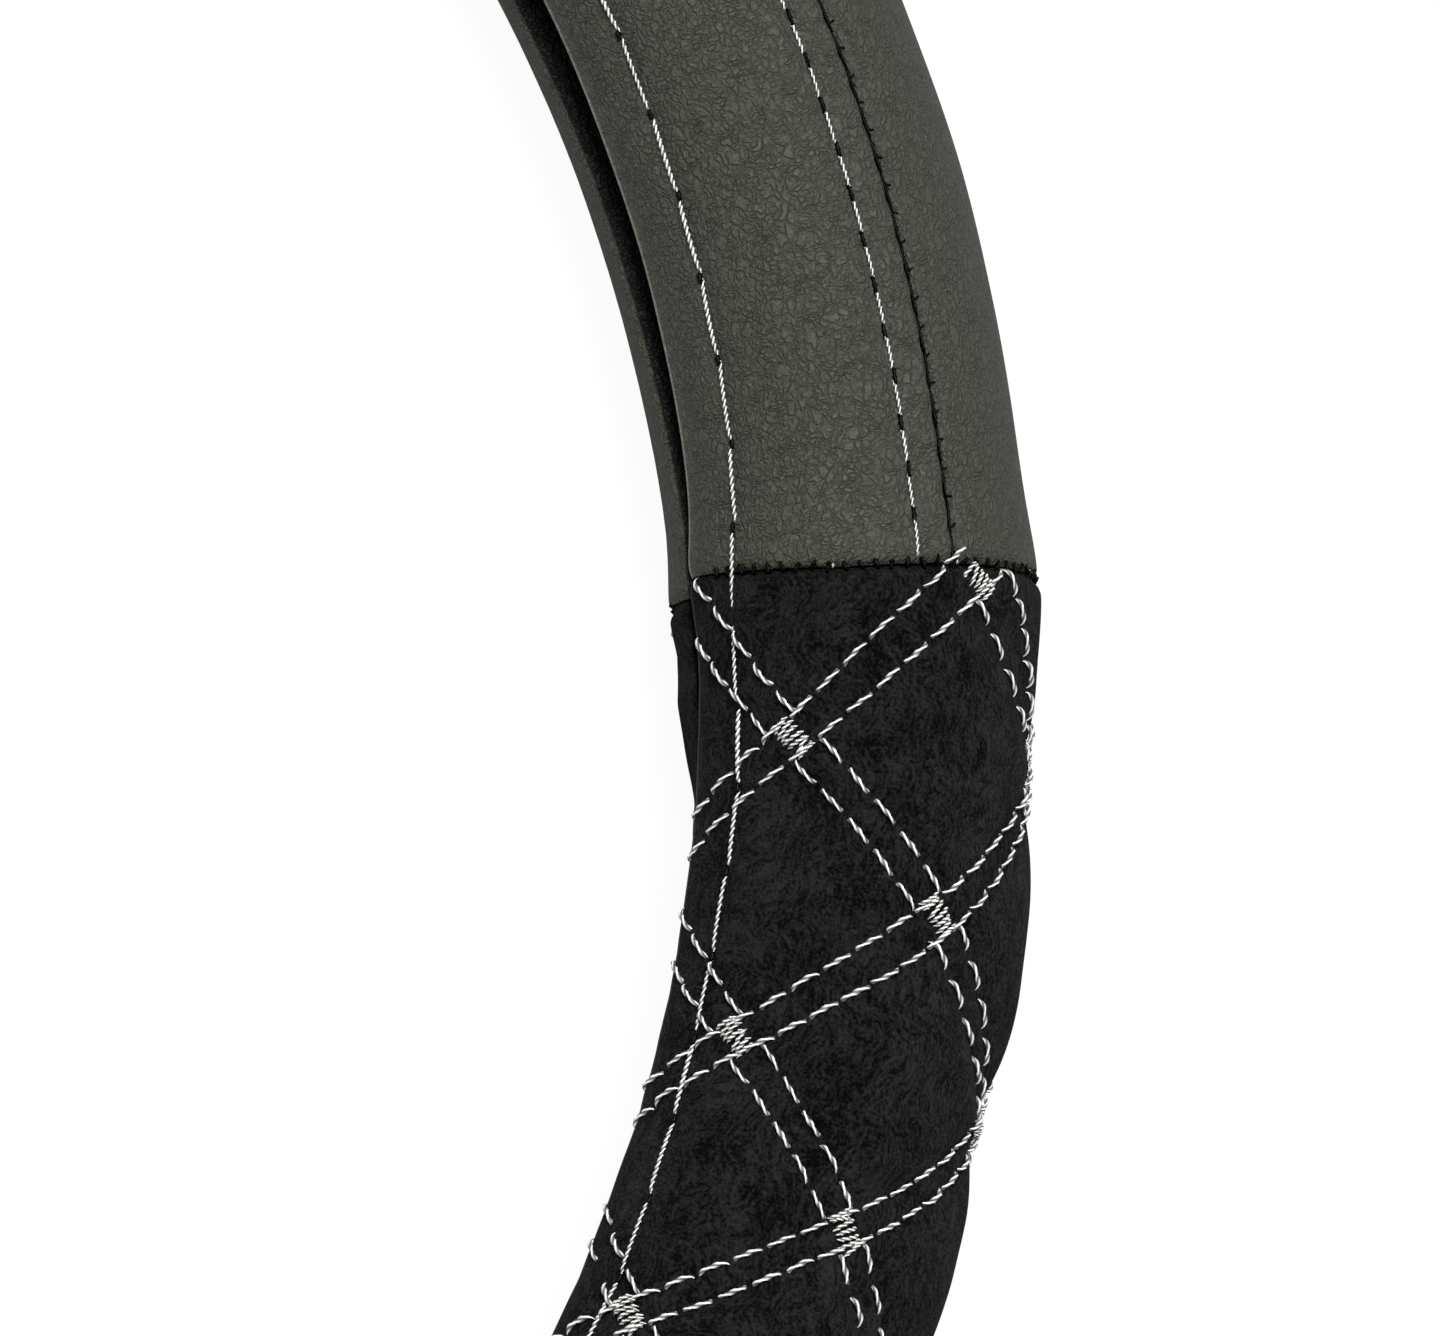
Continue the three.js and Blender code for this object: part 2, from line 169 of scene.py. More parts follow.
def lip_angle(phi):
    """The theta of the centre of the front lip's fold. The rear lip's is the same, below zero."""
    reach = half_slit(phi) + SECTION_RADIUS - LIP_CENTRE_RADIUS
    return 180 - arc_angle(reach, LIP_CENTRE_RADIUS)


def slack(phi, theta):
    """How far a suede arc sinks in beside its rear lip, liner and all, where no wheel fills it."""
    _, to_cross = along_from_seam(phi)
    deep = SLACK_DEPTH * ramp(to_cross, SLACK_FROM, 2 * SLACK_FROM)
    return np.where(in_leather(phi), 0.0, deep * ramp(-theta, SLACK_THETA, SLACK_FULL_THETA))


def seam_skew(phi, theta):
    """Degrees that a cross seam's ends stray: up the leather at the front lip, back at the rear one."""
    _, to_cross = along_from_seam(phi)
    front, rear = (ramp(turn, STRAY_THETA, STRAY_FULL_THETA) for turn in (theta, -theta))
    stray = FRONT_STRAY * front - REAR_STRAY * rear
    towards_leather = np.where(np.round((np.asarray(phi, float) - SEAM_PHI) / QUARTER) % 2 == 0, 1, -1)
    return stray / DEGREE * towards_leather * np.exp(-((to_cross / STRAY_SPREAD) ** 2))


def on_ring(phi, theta, radius):
    """Points in metres. What would sink below the ground is flattened on it."""
    radius = radius - slack(phi, theta)
    phi = phi + seam_skew(phi, theta)
    phi, theta, radius = np.broadcast_arrays(np.radians(phi), np.radians(theta), radius)
    reach = RING_RADIUS + radius * np.cos(theta)
    height = np.maximum(CENTRE_HEIGHT + radius * np.sin(theta), 0.0)
    return np.stack([reach * np.cos(phi), reach * np.sin(phi), height], -1) * MM


def loop_mesh(name, rows, uvs, closed_ring, attributes=None):
    """A closed mesh from rows of points, each row a loop round the section, with a UV for each point."""
    count, columns = rows.shape[:2]
    number = np.arange(count * columns).reshape(count, columns)
    here, beside = number, np.roll(number, -1, 1)
    if closed_ring:
        onward = np.roll(number, -1, 0)
    else:
        here, beside, onward = here[:-1], beside[:-1], number[1:]
    quads = np.stack([here, onward, np.roll(onward, -1, 1), beside], -1).reshape(-1, 4)
    ends = [] if closed_ring else [list(number[0]), list(number[-1][::-1])]
    mesh = bpy.data.meshes.new(name)
    mesh.from_pydata(rows.reshape(-1, 3).tolist(), [], quads.tolist() + ends)
    if sum_volume(mesh) < 0:
        mesh.flip_normals()
    mesh.polygons.foreach_set("use_smooth", [len(p.vertices) == 4 for p in mesh.polygons])
    corner_vertex = np.empty(len(mesh.loops), np.int32)
    mesh.loops.foreach_get("vertex_index", corner_vertex)
    layer = mesh.uv_layers.new(name="skin")
    layer.uv.foreach_set("vector", uvs.reshape(-1, 2)[corner_vertex].astype(np.float32).ravel())
    for attribute, values in (attributes or {}).items():
        stored = mesh.attributes.new(attribute, "FLOAT", "POINT")
        stored.data.foreach_set("value", np.asarray(values, np.float32).ravel())
    mesh.update()
    return mesh


def sum_volume(mesh):
    """Six times the volume that a mesh's faces enclose. Below zero, they look inwards."""
    mesh.calc_loop_triangles()
    points = np.empty(len(mesh.vertices) * 3, np.float32)
    mesh.vertices.foreach_get("co", points)
    corners = np.empty(len(mesh.loop_triangles) * 3, np.int32)
    mesh.loop_triangles.foreach_get("vertices", corners)
    a, b, c = points.reshape(-1, 3)[corners].reshape(-1, 3, 3).transpose(1, 0, 2)
    return float(np.einsum("ij,ij->i", a, np.cross(b, c)).sum())


def add_piece(name, mesh, material, slot, *nodes):
    """A piece of the cover's one body, in place of the CAD nodes named, given the material if it has none.
    The slot is not used.
    """
    piece = bpy.data.objects.new(name, mesh)
    scene.collection.objects.link(piece)
    if not mesh.materials:
        mesh.materials.append(material)
    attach(piece, "root")
    if nodes:
        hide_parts(*nodes)
    return piece


def linear(colour):
    """An sRGB hex colour as a linear one."""
    channels = [int(colour[k : k + 2], 16) / 255 for k in (1, 3, 5)]
    return [c / 12.92 if c <= 0.04045 else ((c + 0.055) / 1.055) ** 2.4 for c in channels] + [1.0]


def per_metre(size):
    """A pattern's scale, from the size of one of its features in millimetres."""
    return 1000 / size


def add_node(tree, kind, inputs=None, **settings):
    """A node with its settings, and its inputs set or linked."""
    node = tree.nodes.new(kind)
    for name, value in settings.items():
        setattr(node, name, value)
    for key, value in (inputs or {}).items():
        if isinstance(value, bpy.types.NodeSocket):
            tree.links.new(value, node.inputs[key])
        else:
            node.inputs[key].default_value = value
    return node


def new_material(name):
    """An empty material with its output, and the tree to build it in."""
    material = bpy.data.materials.new(name)
    material.use_nodes = True
    tree = material.node_tree
    tree.nodes.clear()
    return material, tree, add_node(tree, "ShaderNodeOutputMaterial")


def moulded_rubber():
    """Styrene rubber from a grained mould: matt, near black, faintly mottled with bloom."""
    material, tree, output = new_material("moulded_rubber")
    place = add_node(tree, "ShaderNodeTexCoord").outputs["Object"]
    bloom = add_node(tree, "ShaderNodeTexNoise", {"Vector": place, "Scale": per_metre(BLOOM_SIZE),
                                                  "Detail": 4.0})
    colour = add_node(tree, "ShaderNodeMix", {0: bloom.outputs["Fac"], 6: linear("#101010"),
                                              7: linear("#1c1c1c")}, data_type="RGBA")
    grain = add_node(tree, "ShaderNodeTexNoise", {"Vector": place, "Scale": per_metre(MOULD_GRAIN),
                                                  "Detail": 2.0})
    bump = add_node(tree, "ShaderNodeBump", {"Height": grain.outputs["Fac"], "Strength": 0.4,
                                             "Distance": MOULD_GRAIN_DEPTH * MM})
    shader = add_node(tree, "ShaderNodeBsdfPrincipled", {"Base Color": colour.outputs[2],
                                                         "Roughness": 0.75, "IOR": 1.5,
                                                         "Normal": bump.outputs["Normal"]})
    tree.links.new(shader.outputs["BSDF"], output.inputs["Surface"])
    return material


def liner_rows(phis):
    """Loops round the liner: its outer wall, the front lip's thin edge, the bore, and the rear lip's."""
    lip = lip_angle(phis)[:, None]
    shoulder = lip - arc_angle(LIP_REBATE, LIP_CENTRE_RADIUS)
    body = shoulder - arc_angle(REBATE_RUN_OUT, LIP_CENTRE_RADIUS)
    wall = np.linspace(-1, 1, LINER_WALL_POINTS)
    bore = np.linspace(1, -1, LINER_BORE_POINTS)
    theta = np.hstack([lip * wall, lip, shoulder, body * bore, -shoulder, -lip])
    thin = [LINER_RADIUS - LIP_WALL] * 2
    radius = np.concatenate([0 * wall + LINER_RADIUS, thin, 0 * bore + BORE_RADIUS, thin])
    return on_ring(phis[:, None], theta, radius[None, :])


liner_phis = np.arange(0, 360, LINER_STEP)
liner_points = liner_rows(liner_phis)
liner_mesh = loop_mesh("rubber_liner", liner_points, np.zeros(liner_points.shape[:2] + (2,)), True)
liner_nodes = [f"rubber_liner_{where}" for where in ("top", "left", "bottom", "right")]
add_piece("liner", liner_mesh, moulded_rubber(), "rubber", *liner_nodes)

# Leather panels
# Each leather arc is two pieces of grained synthetic leather: a front panel and a wider one round
# the outside and the back. They meet at a face seam, and both are turned in at a lip. The hem,
# the topstitch and the seams pull the leather in.
SKIN_THICKNESS = 1.6
LEAST_SKIN = 0.4
FACE_SEAM_THETA = 82.5
SEAM_GAP = 0.3
FACE_SEAM_DIP = 0.5
FACE_SEAM_SPREAD = 0.35
FACE_NICK_PITCH = 4.0
FACE_NICK_DEPTH = 0.25
FACE_NICK_LENGTH, FACE_NICK_WIDTH = 1.6, 0.7
FACE_NICK_STRAY, FACE_NICK_STRAY_PITCH = 0.4, 3.0
CROSS_EDGE_DIP = 0.6
CROSS_EDGE_SPREAD = 0.5
EDGE_LEVELLING = 0.8
EDGE_LEVEL_THETA, EDGE_LEVEL_FULL_THETA = 150.0, 170.0
CROSS_NICK_PITCH = 2.0
CROSS_NICK_DEPTH = 0.45
CROSS_NICK_LENGTH, CROSS_NICK_WIDTH = 1.1, 0.4
CROSS_NICK_STRAY, CROSS_NICK_STRAY_THETA = 0.5, 4.0
TOPSTITCH_INSET = 4.4
HEM_INSET = 5.4
SUEDE_HEM_INSET = 4.45
HEM_SWAY = 0.45
HEM_SWAY_LENGTH = 54.0
HEM_SWAY_SPREAD = 8.0
STITCH_PULL = 0.3
STITCH_SPREAD = 1.3
HOLE_PULL = 0.6
HEM_HOLE_SPREAD, TOPSTITCH_HOLE_SPREAD = 1.0, 0.8
HEM_PITCH = 9.0
TOPSTITCH_PITCH = 5.0
TURN_IN_LENGTH = 8.0
TURN_IN_STEPS = 3
FOLD_SQUARENESS = 5.0
FOLD_STEPS, HIDDEN_FOLD_STEPS = 16, 4
# Where the fold's painted highlight lies, and the angle below which the fold gets painted shade.
FOLD_CREST_ANGLE, FOLD_CREST_SPREAD = 64.0, 9.0
PAINTED_SHADE_BELOW_ANGLE = 40.0
SEAM_BULGE = 0.55
SEAM_BULGE_SPREAD = 6.0
INNER_FULLNESS = 0.4
INNER_MIDDLE_THETA, INNER_FULL_WITHIN, INNER_ENDS_WITHIN = 190.0, 27.0, 72.0
ARC_FULLNESS = 0.5
ARC_FULL_BEYOND = 35.0
UNEVENNESS = 0.12
LEATHER_HILL, LEATHER_HILL_THETA = 14.0, 30.0
LEATHER_ARCS = (("top", SEAM_PHI), ("bottom", SEAM_PHI + 2 * QUARTER))

# Steps of the panels' meshes
LEATHER_STEP = 0.7
STEPS_BESIDE_SEAM = (0, 0.12, 0.3, 0.55, 0.9, 1.4)
EVEN_BEYOND = 2.0
FRONT_SEAM_BAND, FRONT_SEAM_STEPS, FRONT_STEPS = 0.1, 7, 55
OUTER_SEAM_BAND, OUTER_SEAM_STEPS, OUTER_STEPS = 0.04, 8, 104
HIDDEN_THINNING = 4

# Sizes of the grain
COARSE_CREASE, SMALL_CREASE = 1.613, 0.8333
CREASE_PATCH = 2.632
CREASE_BEND, CREASE_BEND_SIZE = 2.2, 1.6667
CREASE_DEPTH = 0.23
LEATHER_PORE = 0.4545
DYE_CLOUD = 16.67


def soft_noise(x, y, seed):
    """Smooth random heights from -1 to 1, with about one hill for each unit each way."""
    size = 256
    table = np.random.default_rng(seed).uniform(-1, 1, (size, size))
    x, y = np.broadcast_arrays(x, y)
    left, low = np.floor(x).astype(int), np.floor(y).astype(int)
    across, rise = x - left, y - low
    across, rise = across * across * (3 - 2 * across), rise * rise * (3 - 2 * rise)
    at = lambda i, j: table[i % size, j % size]
    near = at(left, low) * (1 - across) + at(left + 1, low) * across
    far = at(left, low + 1) * (1 - across) + at(left + 1, low + 1) * across
    return near * (1 - rise) + far * rise


def ridge(distance, spread):
    """1 on a line, falling to 0 at both sides of it."""
    return np.exp(-((distance / spread) ** 2))


def edge_dip(to_cross, theta, dip, spread):
    """How far a seam pulls a panel's edge in. Less so towards the lips, where the skin lies flat."""
    levelling = EDGE_LEVELLING * ramp(np.abs(theta), EDGE_LEVEL_THETA, EDGE_LEVEL_FULL_THETA)
    return dip * ridge(to_cross, spread) * (1 - levelling)


def nicks(length, pitch, width):
    """1 at each of a row of evenly spaced points along a length, 0 between them."""
    off = np.mod(length + pitch / 2, pitch) - pitch / 2
    return ridge(off, width)


def hem_angle(phi):
    """The theta of the front hem, which sways a little along the suede."""
    _, to_cross = along_from_seam(phi)
    sway = HEM_SWAY * np.cos(2 * np.pi * to_cross / HEM_SWAY_LENGTH)
    leather_inset = HEM_INSET - HEM_SWAY * ridge(to_cross, HEM_SWAY_SPREAD)
    inset = np.where(in_leather(phi), leather_inset, SUEDE_HEM_INSET - sway)
    return lip_angle(phi) - arc_angle(inset, SECTION_RADIUS)


def inward(theta):
    """1 on the side of the section that faces the ring's centre, and 0 on its outer half."""
    off = np.abs(np.mod(theta, 360.0) - INNER_MIDDLE_THETA)
    return 1 - ramp(off, INNER_FULL_WITHIN, INNER_ENDS_WITHIN)


def leather_height(phi, theta):
    """How far the leather's face stands off the plain round section."""
    since, to_cross = along_from_seam(phi)
    from_face_seam = (theta - FACE_SEAM_THETA) * ARC
    from_top = from_face_seam - TOPSTITCH_INSET
    from_hem = (np.abs(theta) - hem_angle(phi)) * ARC
    height = UNEVENNESS * soft_noise(since / LEATHER_HILL, theta / LEATHER_HILL_THETA, 1)
    height += ARC_FULLNESS * (1 - ridge(to_cross, ARC_FULL_BEYOND)) + INNER_FULLNESS * inward(theta)
    height += SEAM_BULGE * ridge(to_cross, SEAM_BULGE_SPREAD)
    height -= FACE_SEAM_DIP * ridge(from_face_seam, FACE_SEAM_SPREAD)
    strayed = since + FACE_NICK_STRAY * soft_noise(since / FACE_NICK_STRAY_PITCH, 0, 2)
    height -= (FACE_NICK_DEPTH * ridge(from_face_seam, FACE_NICK_LENGTH)
               * nicks(strayed, FACE_NICK_PITCH, FACE_NICK_WIDTH))
    hem_holes = nicks(since, HEM_PITCH, HEM_HOLE_SPREAD)
    height -= STITCH_PULL * ridge(from_hem, STITCH_SPREAD) * (1 + HOLE_PULL * hem_holes)
    top_holes = nicks(since, TOPSTITCH_PITCH, TOPSTITCH_HOLE_SPREAD)
    height -= STITCH_PULL * ridge(from_top, STITCH_SPREAD) * (1 + HOLE_PULL * top_holes)
    height -= edge_dip(to_cross, theta, CROSS_EDGE_DIP, CROSS_EDGE_SPREAD)
    strayed = theta * ARC + CROSS_NICK_STRAY * soft_noise(theta / CROSS_NICK_STRAY_THETA, 0, 3)
    height -= (CROSS_NICK_DEPTH * ridge(to_cross, CROSS_NICK_LENGTH)
               * nicks(strayed, CROSS_NICK_PITCH, CROSS_NICK_WIDTH))
    return height


def lip_turn(phi, reach, steps, lift):
    """The way round the front lip's fold and back inside it, as theta, radius and painted light.

    The fold is nearly square, because the skin is pressed flat over the liner's lip. Its own angle
    runs from 90 on the skin's face to -90 on the turned edge. The painted light is 1 along the fold's
    crest, a painted highlight where the light catches it, and -1 inside, painted shade near black.
    """
    around = np.radians(np.linspace(90, -90, steps + 1))[None, :]
    square = lambda part: np.sign(part) * np.abs(part) ** (2 / FOLD_SQUARENESS)
    turn = np.degrees(around)
    centre = lip_angle(phi)[:, None]
    # Painted light: 1 is a painted highlight along the crest, -1 is painted shade inside the fold.
    painted_light = ridge(turn - FOLD_CREST_ANGLE, FOLD_CREST_SPREAD) - (turn < PAINTED_SHADE_BELOW_ANGLE) + 0 * centre
    theta = centre + arc_angle(reach * square(np.cos(around)), LIP_CENTRE_RADIUS)
    radius = LIP_CENTRE_RADIUS + reach * square(np.sin(around)) + 0 * centre
    radius = radius + lift * (1 + np.sin(around)) / 2
    inner = np.linspace(0, TURN_IN_LENGTH, TURN_IN_STEPS + 1)[None, 1:]
    theta = np.hstack([theta, centre - arc_angle(inner, LIP_CENTRE_RADIUS)])
    radius = np.hstack([radius, LIP_CENTRE_RADIUS - reach + 0 * (centre + inner)])
    return theta, radius, np.hstack([painted_light, 0 * (centre + inner) - 1])


def eased_phis(start, step):
    """Ring angles along a quarter, close together near the cross seam at either end."""
    near = SEAM_GAP / 2 + np.array(STEPS_BESIDE_SEAM)
    length = QUARTER * DEGREE
    middle = np.linspace(EVEN_BEYOND, length - EVEN_BEYOND, int((length - 2 * EVEN_BEYOND) / step) + 1)
    return start + np.concatenate([near, middle, length - near[::-1]]) / DEGREE


def skin_rows(phis, face_theta, face_radius, front_turn, rear_turn):
    """Points, UVs and painted light of a skin: its face and turned lips, then its hidden side on the way
    back.

    The UVs are metres along the ring and across the skin, so that patterns keep their size on it.
    """
    shown, hidden = SECTION_RADIUS - LIP_CENTRE_RADIUS, SECTION_RADIUS - SKIN_THICKNESS - LIP_CENTRE_RADIUS
    front_lift, rear_lift = face_radius[:, -1:] - SECTION_RADIUS, face_radius[:, :1] - SECTION_RADIUS
    theta, radius, painted_light = face_theta, face_radius, 0 * face_radius
    back_theta, back_radius = face_theta[:, ::-HIDDEN_THINNING], face_radius[:, ::-HIDDEN_THINNING]
    back_radius = np.minimum(SECTION_RADIUS - SKIN_THICKNESS, back_radius - LEAST_SKIN)
    if front_turn:
        turn_theta, turn_radius, turn_painted_light = lip_turn(phis, shown, FOLD_STEPS, front_lift)
        inner_theta, inner_radius, _ = lip_turn(phis, hidden, HIDDEN_FOLD_STEPS, 0)
        theta, radius = np.hstack([theta, turn_theta]), np.hstack([radius, turn_radius])
        painted_light = np.hstack([painted_light, turn_painted_light])
        back_theta = np.hstack([inner_theta[:, ::-1], back_theta[:, 1:]])
        back_radius = np.hstack([inner_radius[:, ::-1], back_radius[:, 1:]])
    if rear_turn:
        turn_theta, turn_radius, turn_painted_light = lip_turn(phis, shown, FOLD_STEPS, rear_lift)
        inner_theta, inner_radius, _ = lip_turn(phis, hidden, HIDDEN_FOLD_STEPS, 0)
        theta, radius = np.hstack([-turn_theta[:, ::-1], theta]), np.hstack([turn_radius[:, ::-1], radius])
        painted_light = np.hstack([np.minimum(turn_painted_light[:, ::-1], 0), painted_light])
        back_theta = np.hstack([back_theta[:, :-1], -inner_theta])
        back_radius = np.hstack([back_radius[:, :-1], inner_radius])
    theta, radius = np.hstack([theta, back_theta]), np.hstack([radius, back_radius])
    painted_light = np.hstack([painted_light, 0 * back_radius])
    points = on_ring(phis[:, None], theta, radius)
    across = np.cumsum(np.linalg.norm(np.diff(points, axis=1, prepend=points[:, :1]), axis=-1), 1) / MM
    across -= np.median(across, 1, keepdims=True)
    uvs = np.stack([np.broadcast_to(phis[:, None] * DEGREE, across.shape), across], -1)
    return points, uvs * MM, painted_light


def fold_highlight_and_shade(tree, colour, crest):
    """A face's colour with painted light: a painted highlight along the lip's crest, and painted shade, near
    black, inside the fold.
    """
    painted_light_fac = add_node(tree, "ShaderNodeAttribute", attribute_name="painted_light").outputs["Fac"]
    inside = add_node(tree, "ShaderNodeMath", {0: painted_light_fac, 1: -1.0}, operation="MULTIPLY")
    highlighted = add_node(tree, "ShaderNodeMix", {0: painted_light_fac, 6: colour, 7: linear(crest)}, data_type="RGBA")
    # Painted shade: near black, #040404, where the painted light is below zero.
    return add_node(tree, "ShaderNodeMix", {0: inside.outputs[0], 6: highlighted.outputs[2],
                                            7: linear("#040404")}, data_type="RGBA")


def crease_grained_leather():
    """Embossed polyurethane leather, taupe grey: soft satin, with fine irregular creases.

    Two sizes of cell, bent out of shape, stand between narrow valleys with a little painted shade: the
    coarse ones in some patches, the small ones in others. The shade of the dye wanders a little.
    The pores are too fine to show, so they are drawn nearly half a millimetre wide.
    """
    material, tree, output = new_material("crease_grained_leather")
    skin = add_node(tree, "ShaderNodeUVMap", uv_map="skin").outputs["UV"]
    bend = add_node(tree, "ShaderNodeTexNoise", {"Vector": skin, "Scale": per_metre(CREASE_BEND_SIZE),
                                                 "Detail": 2.0})
    bent = add_node(tree, "ShaderNodeMix", {0: CREASE_BEND * MM, 4: skin, 5: bend.outputs["Color"]},
                    data_type="VECTOR")

    def creases(size, width, squeeze):
        """Cells of a size, squeezed along one way, with valleys as wide as a share of them."""
        shape = add_node(tree, "ShaderNodeMapping", {"Vector": bent.outputs[1], "Scale": squeeze,
                                                     "Rotation": (0, 0, 0.5)})
        cells = add_node(tree, "ShaderNodeTexVoronoi", {"Vector": shape.outputs["Vector"],
                                                        "Scale": per_metre(size)},
                         feature="DISTANCE_TO_EDGE")
        return add_node(tree, "ShaderNodeMapRange", {"Value": cells.outputs["Distance"], "From Max": width},
                        interpolation_type="SMOOTHSTEP").outputs["Result"]

    coarse = creases(COARSE_CREASE, 0.22, (1.0, 1.8, 1.0))
    small = creases(SMALL_CREASE, 0.26, (1.6, 1.0, 1.0))
    where = add_node(tree, "ShaderNodeTexNoise", {"Vector": skin, "Scale": per_metre(CREASE_PATCH),
                                                  "Detail": 2.0})
    share = add_node(tree, "ShaderNodeMapRange", {"Value": where.outputs["Fac"], "From Min": 0.35,
                                                  "From Max": 0.65, "To Min": 0.1, "To Max": 0.9})
    crease = add_node(tree, "ShaderNodeMix", {0: share.outputs["Result"], 2: small, 3: coarse},
                      data_type="FLOAT")
    fine = add_node(tree, "ShaderNodeTexNoise", {"Vector": skin, "Scale": per_metre(LEATHER_PORE),
                                                 "Detail": 3.0})
    height = add_node(tree, "ShaderNodeMath", {0: fine.outputs["Fac"], 1: 0.25,
                                               2: crease.outputs[0]}, operation="MULTIPLY_ADD")
    bump = add_node(tree, "ShaderNodeBump", {"Height": height.outputs[0], "Strength": 1.0,
                                             "Distance": CREASE_DEPTH * MM})
    dye = add_node(tree, "ShaderNodeTexNoise", {"Vector": skin, "Scale": per_metre(DYE_CLOUD),
                                                "Detail": 3.0})
    broad = add_node(tree, "ShaderNodeMix", {0: dye.outputs["Fac"], 6: linear("#3f3f39"),
                                             7: linear("#45453e")}, data_type="RGBA")
    # Painted shade: the valleys between the cells are darkened to #393933.
    crease_shade = add_node(tree, "ShaderNodeMix", {0: crease.outputs[0], 6: linear("#393933"),
                                            7: broad.outputs[2]}, data_type="RGBA")
    # Painted highlight: the front lip's crest is paler, #a9a9a0.
    shade = fold_highlight_and_shade(tree, crease_shade.outputs[2], "#a9a9a0")
    gloss = add_node(tree, "ShaderNodeMapRange", {"Value": fine.outputs["Fac"], "To Min": 0.5,
                                                  "To Max": 0.7})
    shader = add_node(tree, "ShaderNodeBsdfPrincipled", {"Base Color": shade.outputs[2],
                                                         "Roughness": gloss.outputs["Result"], "IOR": 1.45,
                                                         "Specular IOR Level": 0.3,
                                                         "Normal": bump.outputs["Normal"]})
    tree.links.new(shader.outputs["BSDF"], output.inputs["Surface"])
    return material


def width_shares(border, first_steps, last_steps):
    """Shares of a panel's width from 0 to 1, in even steps up to a border and in others past it."""
    first = np.linspace(0, border, first_steps + 1)
    return np.concatenate([first[:-1], np.linspace(border, 1, last_steps + 1)])


def leather_front(start):
    """Rows of a front panel, from the face seam to its turned edge at the front lip."""
    phis = eased_phis(start, LEATHER_STEP)
    edge = FACE_SEAM_THETA + arc_angle(SEAM_GAP / 2, SECTION_RADIUS)
    share = width_shares(FRONT_SEAM_BAND, FRONT_SEAM_STEPS, FRONT_STEPS)[:-1]
    theta = edge + (lip_angle(phis)[:, None] - edge) * share[None, :]
    radius = SECTION_RADIUS + leather_height(phis[:, None], theta)
    return skin_rows(phis, theta, radius, True, False)


def leather_outer(start):
    """Rows of an outer panel, from its turned edge at the rear lip to the face seam."""
    phis = eased_phis(start, LEATHER_STEP)
    edge = FACE_SEAM_THETA - arc_angle(SEAM_GAP / 2, SECTION_RADIUS)
    share = width_shares(1 - OUTER_SEAM_BAND, OUTER_STEPS, OUTER_SEAM_STEPS)[1:]
    lip = -lip_angle(phis)[:, None]
    theta = lip + (edge - lip) * share[None, :]
    radius = SECTION_RADIUS + leather_height(phis[:, None], theta)
    return skin_rows(phis, theta, radius, False, True)


leather = crease_grained_leather()
for where, start in LEATHER_ARCS:
    for part, build in (("front", leather_front), ("outer", leather_outer)):
        points, uvs, painted_light = build(start)
        node = f"leather_{part}_panel_{where}"
        mesh = loop_mesh(node, points, uvs, False, {"painted_light": painted_light})
        add_piece(f"leather_{part}_{where}", mesh, leather, "leather", node)

# Suede panels
# Black synthetic suede on a thin foam, quilted in diamonds: twin rows of stitches run along each
# line of the lattice and pull the foam in, and the diamonds between them stand up as pillows.
HALF_DIAMOND_PHI = 6.1
HALF_DIAMOND_THETA = 59.0
HALF_TALL = HALF_DIAMOND_PHI * DEGREE
HALF_WIDE = HALF_DIAMOND_THETA * ARC
CORNER_THETA = 78.5
CORNER_DRIFT = 0.175
DRIFT_START, DRIFT_END = -19.0, 57.0
FIRST_CORNER = 1.4
ROW_OFFSET = 1.7
PILLOW_CREST = 0.4
PILLOW_DEPTH = 1.5
PILLOW_SPREAD = 4.0
PILLOW_ROUNDNESS = 1.5
DEEPER_ALONG = 0.3
DEEPER_FROM, DEEPER_TO = 24.0, 54.0
LIP_LEVELLING = 0.9
LIP_LEVEL_THETA, LIP_LEVEL_FULL_THETA = 129.5, 164.5
ROW_PULL = 0.35
ROW_SPREAD = 0.7
LATTICE_PITCH = 3.9
SUEDE_EDGE_DIP = 1.1
SUEDE_EDGE_SPREAD = 0.9
# Painted shade where the suede's ends dip into the cross seams.
EDGE_SHADE = 0.85
EDGE_SHADE_SPREAD = 0.7
SUEDE_HILL = 5.0
SUEDE_STEP = 0.8
SUEDE_COLUMNS = 143

# Sizes of the pile
PILE_TUFT = 1.6667
PILE_SPECK = 0.4167
PILE_PATCH = 6.25
PILE_BEND, PILE_BEND_SIZE = 12.0, 9.09
PILE_DEPTH = 0.8


def along_from_upper(phi):
    """Millimetres down from a suede panel's upper cross seam, on either side of the ring."""
    side = np.mod(phi + QUARTER, 360.0) - QUARTER
    down = np.where(side < QUARTER, SEAM_PHI - side, side - (180 - SEAM_PHI))
    return down * DEGREE


def corner_theta(along):
    """The section angle of the lattice's corners, which drifts forward along the panel's start."""
    return CORNER_THETA + CORNER_DRIFT * np.clip(along + DRIFT_START, DRIFT_START, DRIFT_END)


def line_slope(theta):
    """How fast a lattice coordinate changes across its lines, per millimetre."""
    stretch = 1 + SECTION_RADIUS * np.cos(np.radians(theta)) / RING_RADIUS
    return np.hypot(1 / (HALF_TALL * stretch), 1 / HALF_WIDE)


def lattice(phi, theta):
    """Signed millimetres to the nearest falling and the nearest rising line of the lattice."""
    along = along_from_upper(phi)
    u = (along - FIRST_CORNER) / HALF_TALL
    v = (theta - corner_theta(along)) / HALF_DIAMOND_THETA
    slope = line_slope(theta)
    falling = (u + v) - 2 * np.round((u + v) / 2)
    rising = (u - v) - 2 * np.round((u - v) / 2)
    return falling / slope, rising / slope


def pillow_drop(distance):
    """How far one line pulls the suede in, at a distance from it: level between the twin rows."""
    beyond = np.maximum(np.abs(distance) - ROW_OFFSET, 0.0)
    dip = PILLOW_DEPTH * np.exp(-((beyond / PILLOW_SPREAD) ** PILLOW_ROUNDNESS))
    return dip + ROW_PULL * ridge(np.abs(distance) - ROW_OFFSET, ROW_SPREAD)


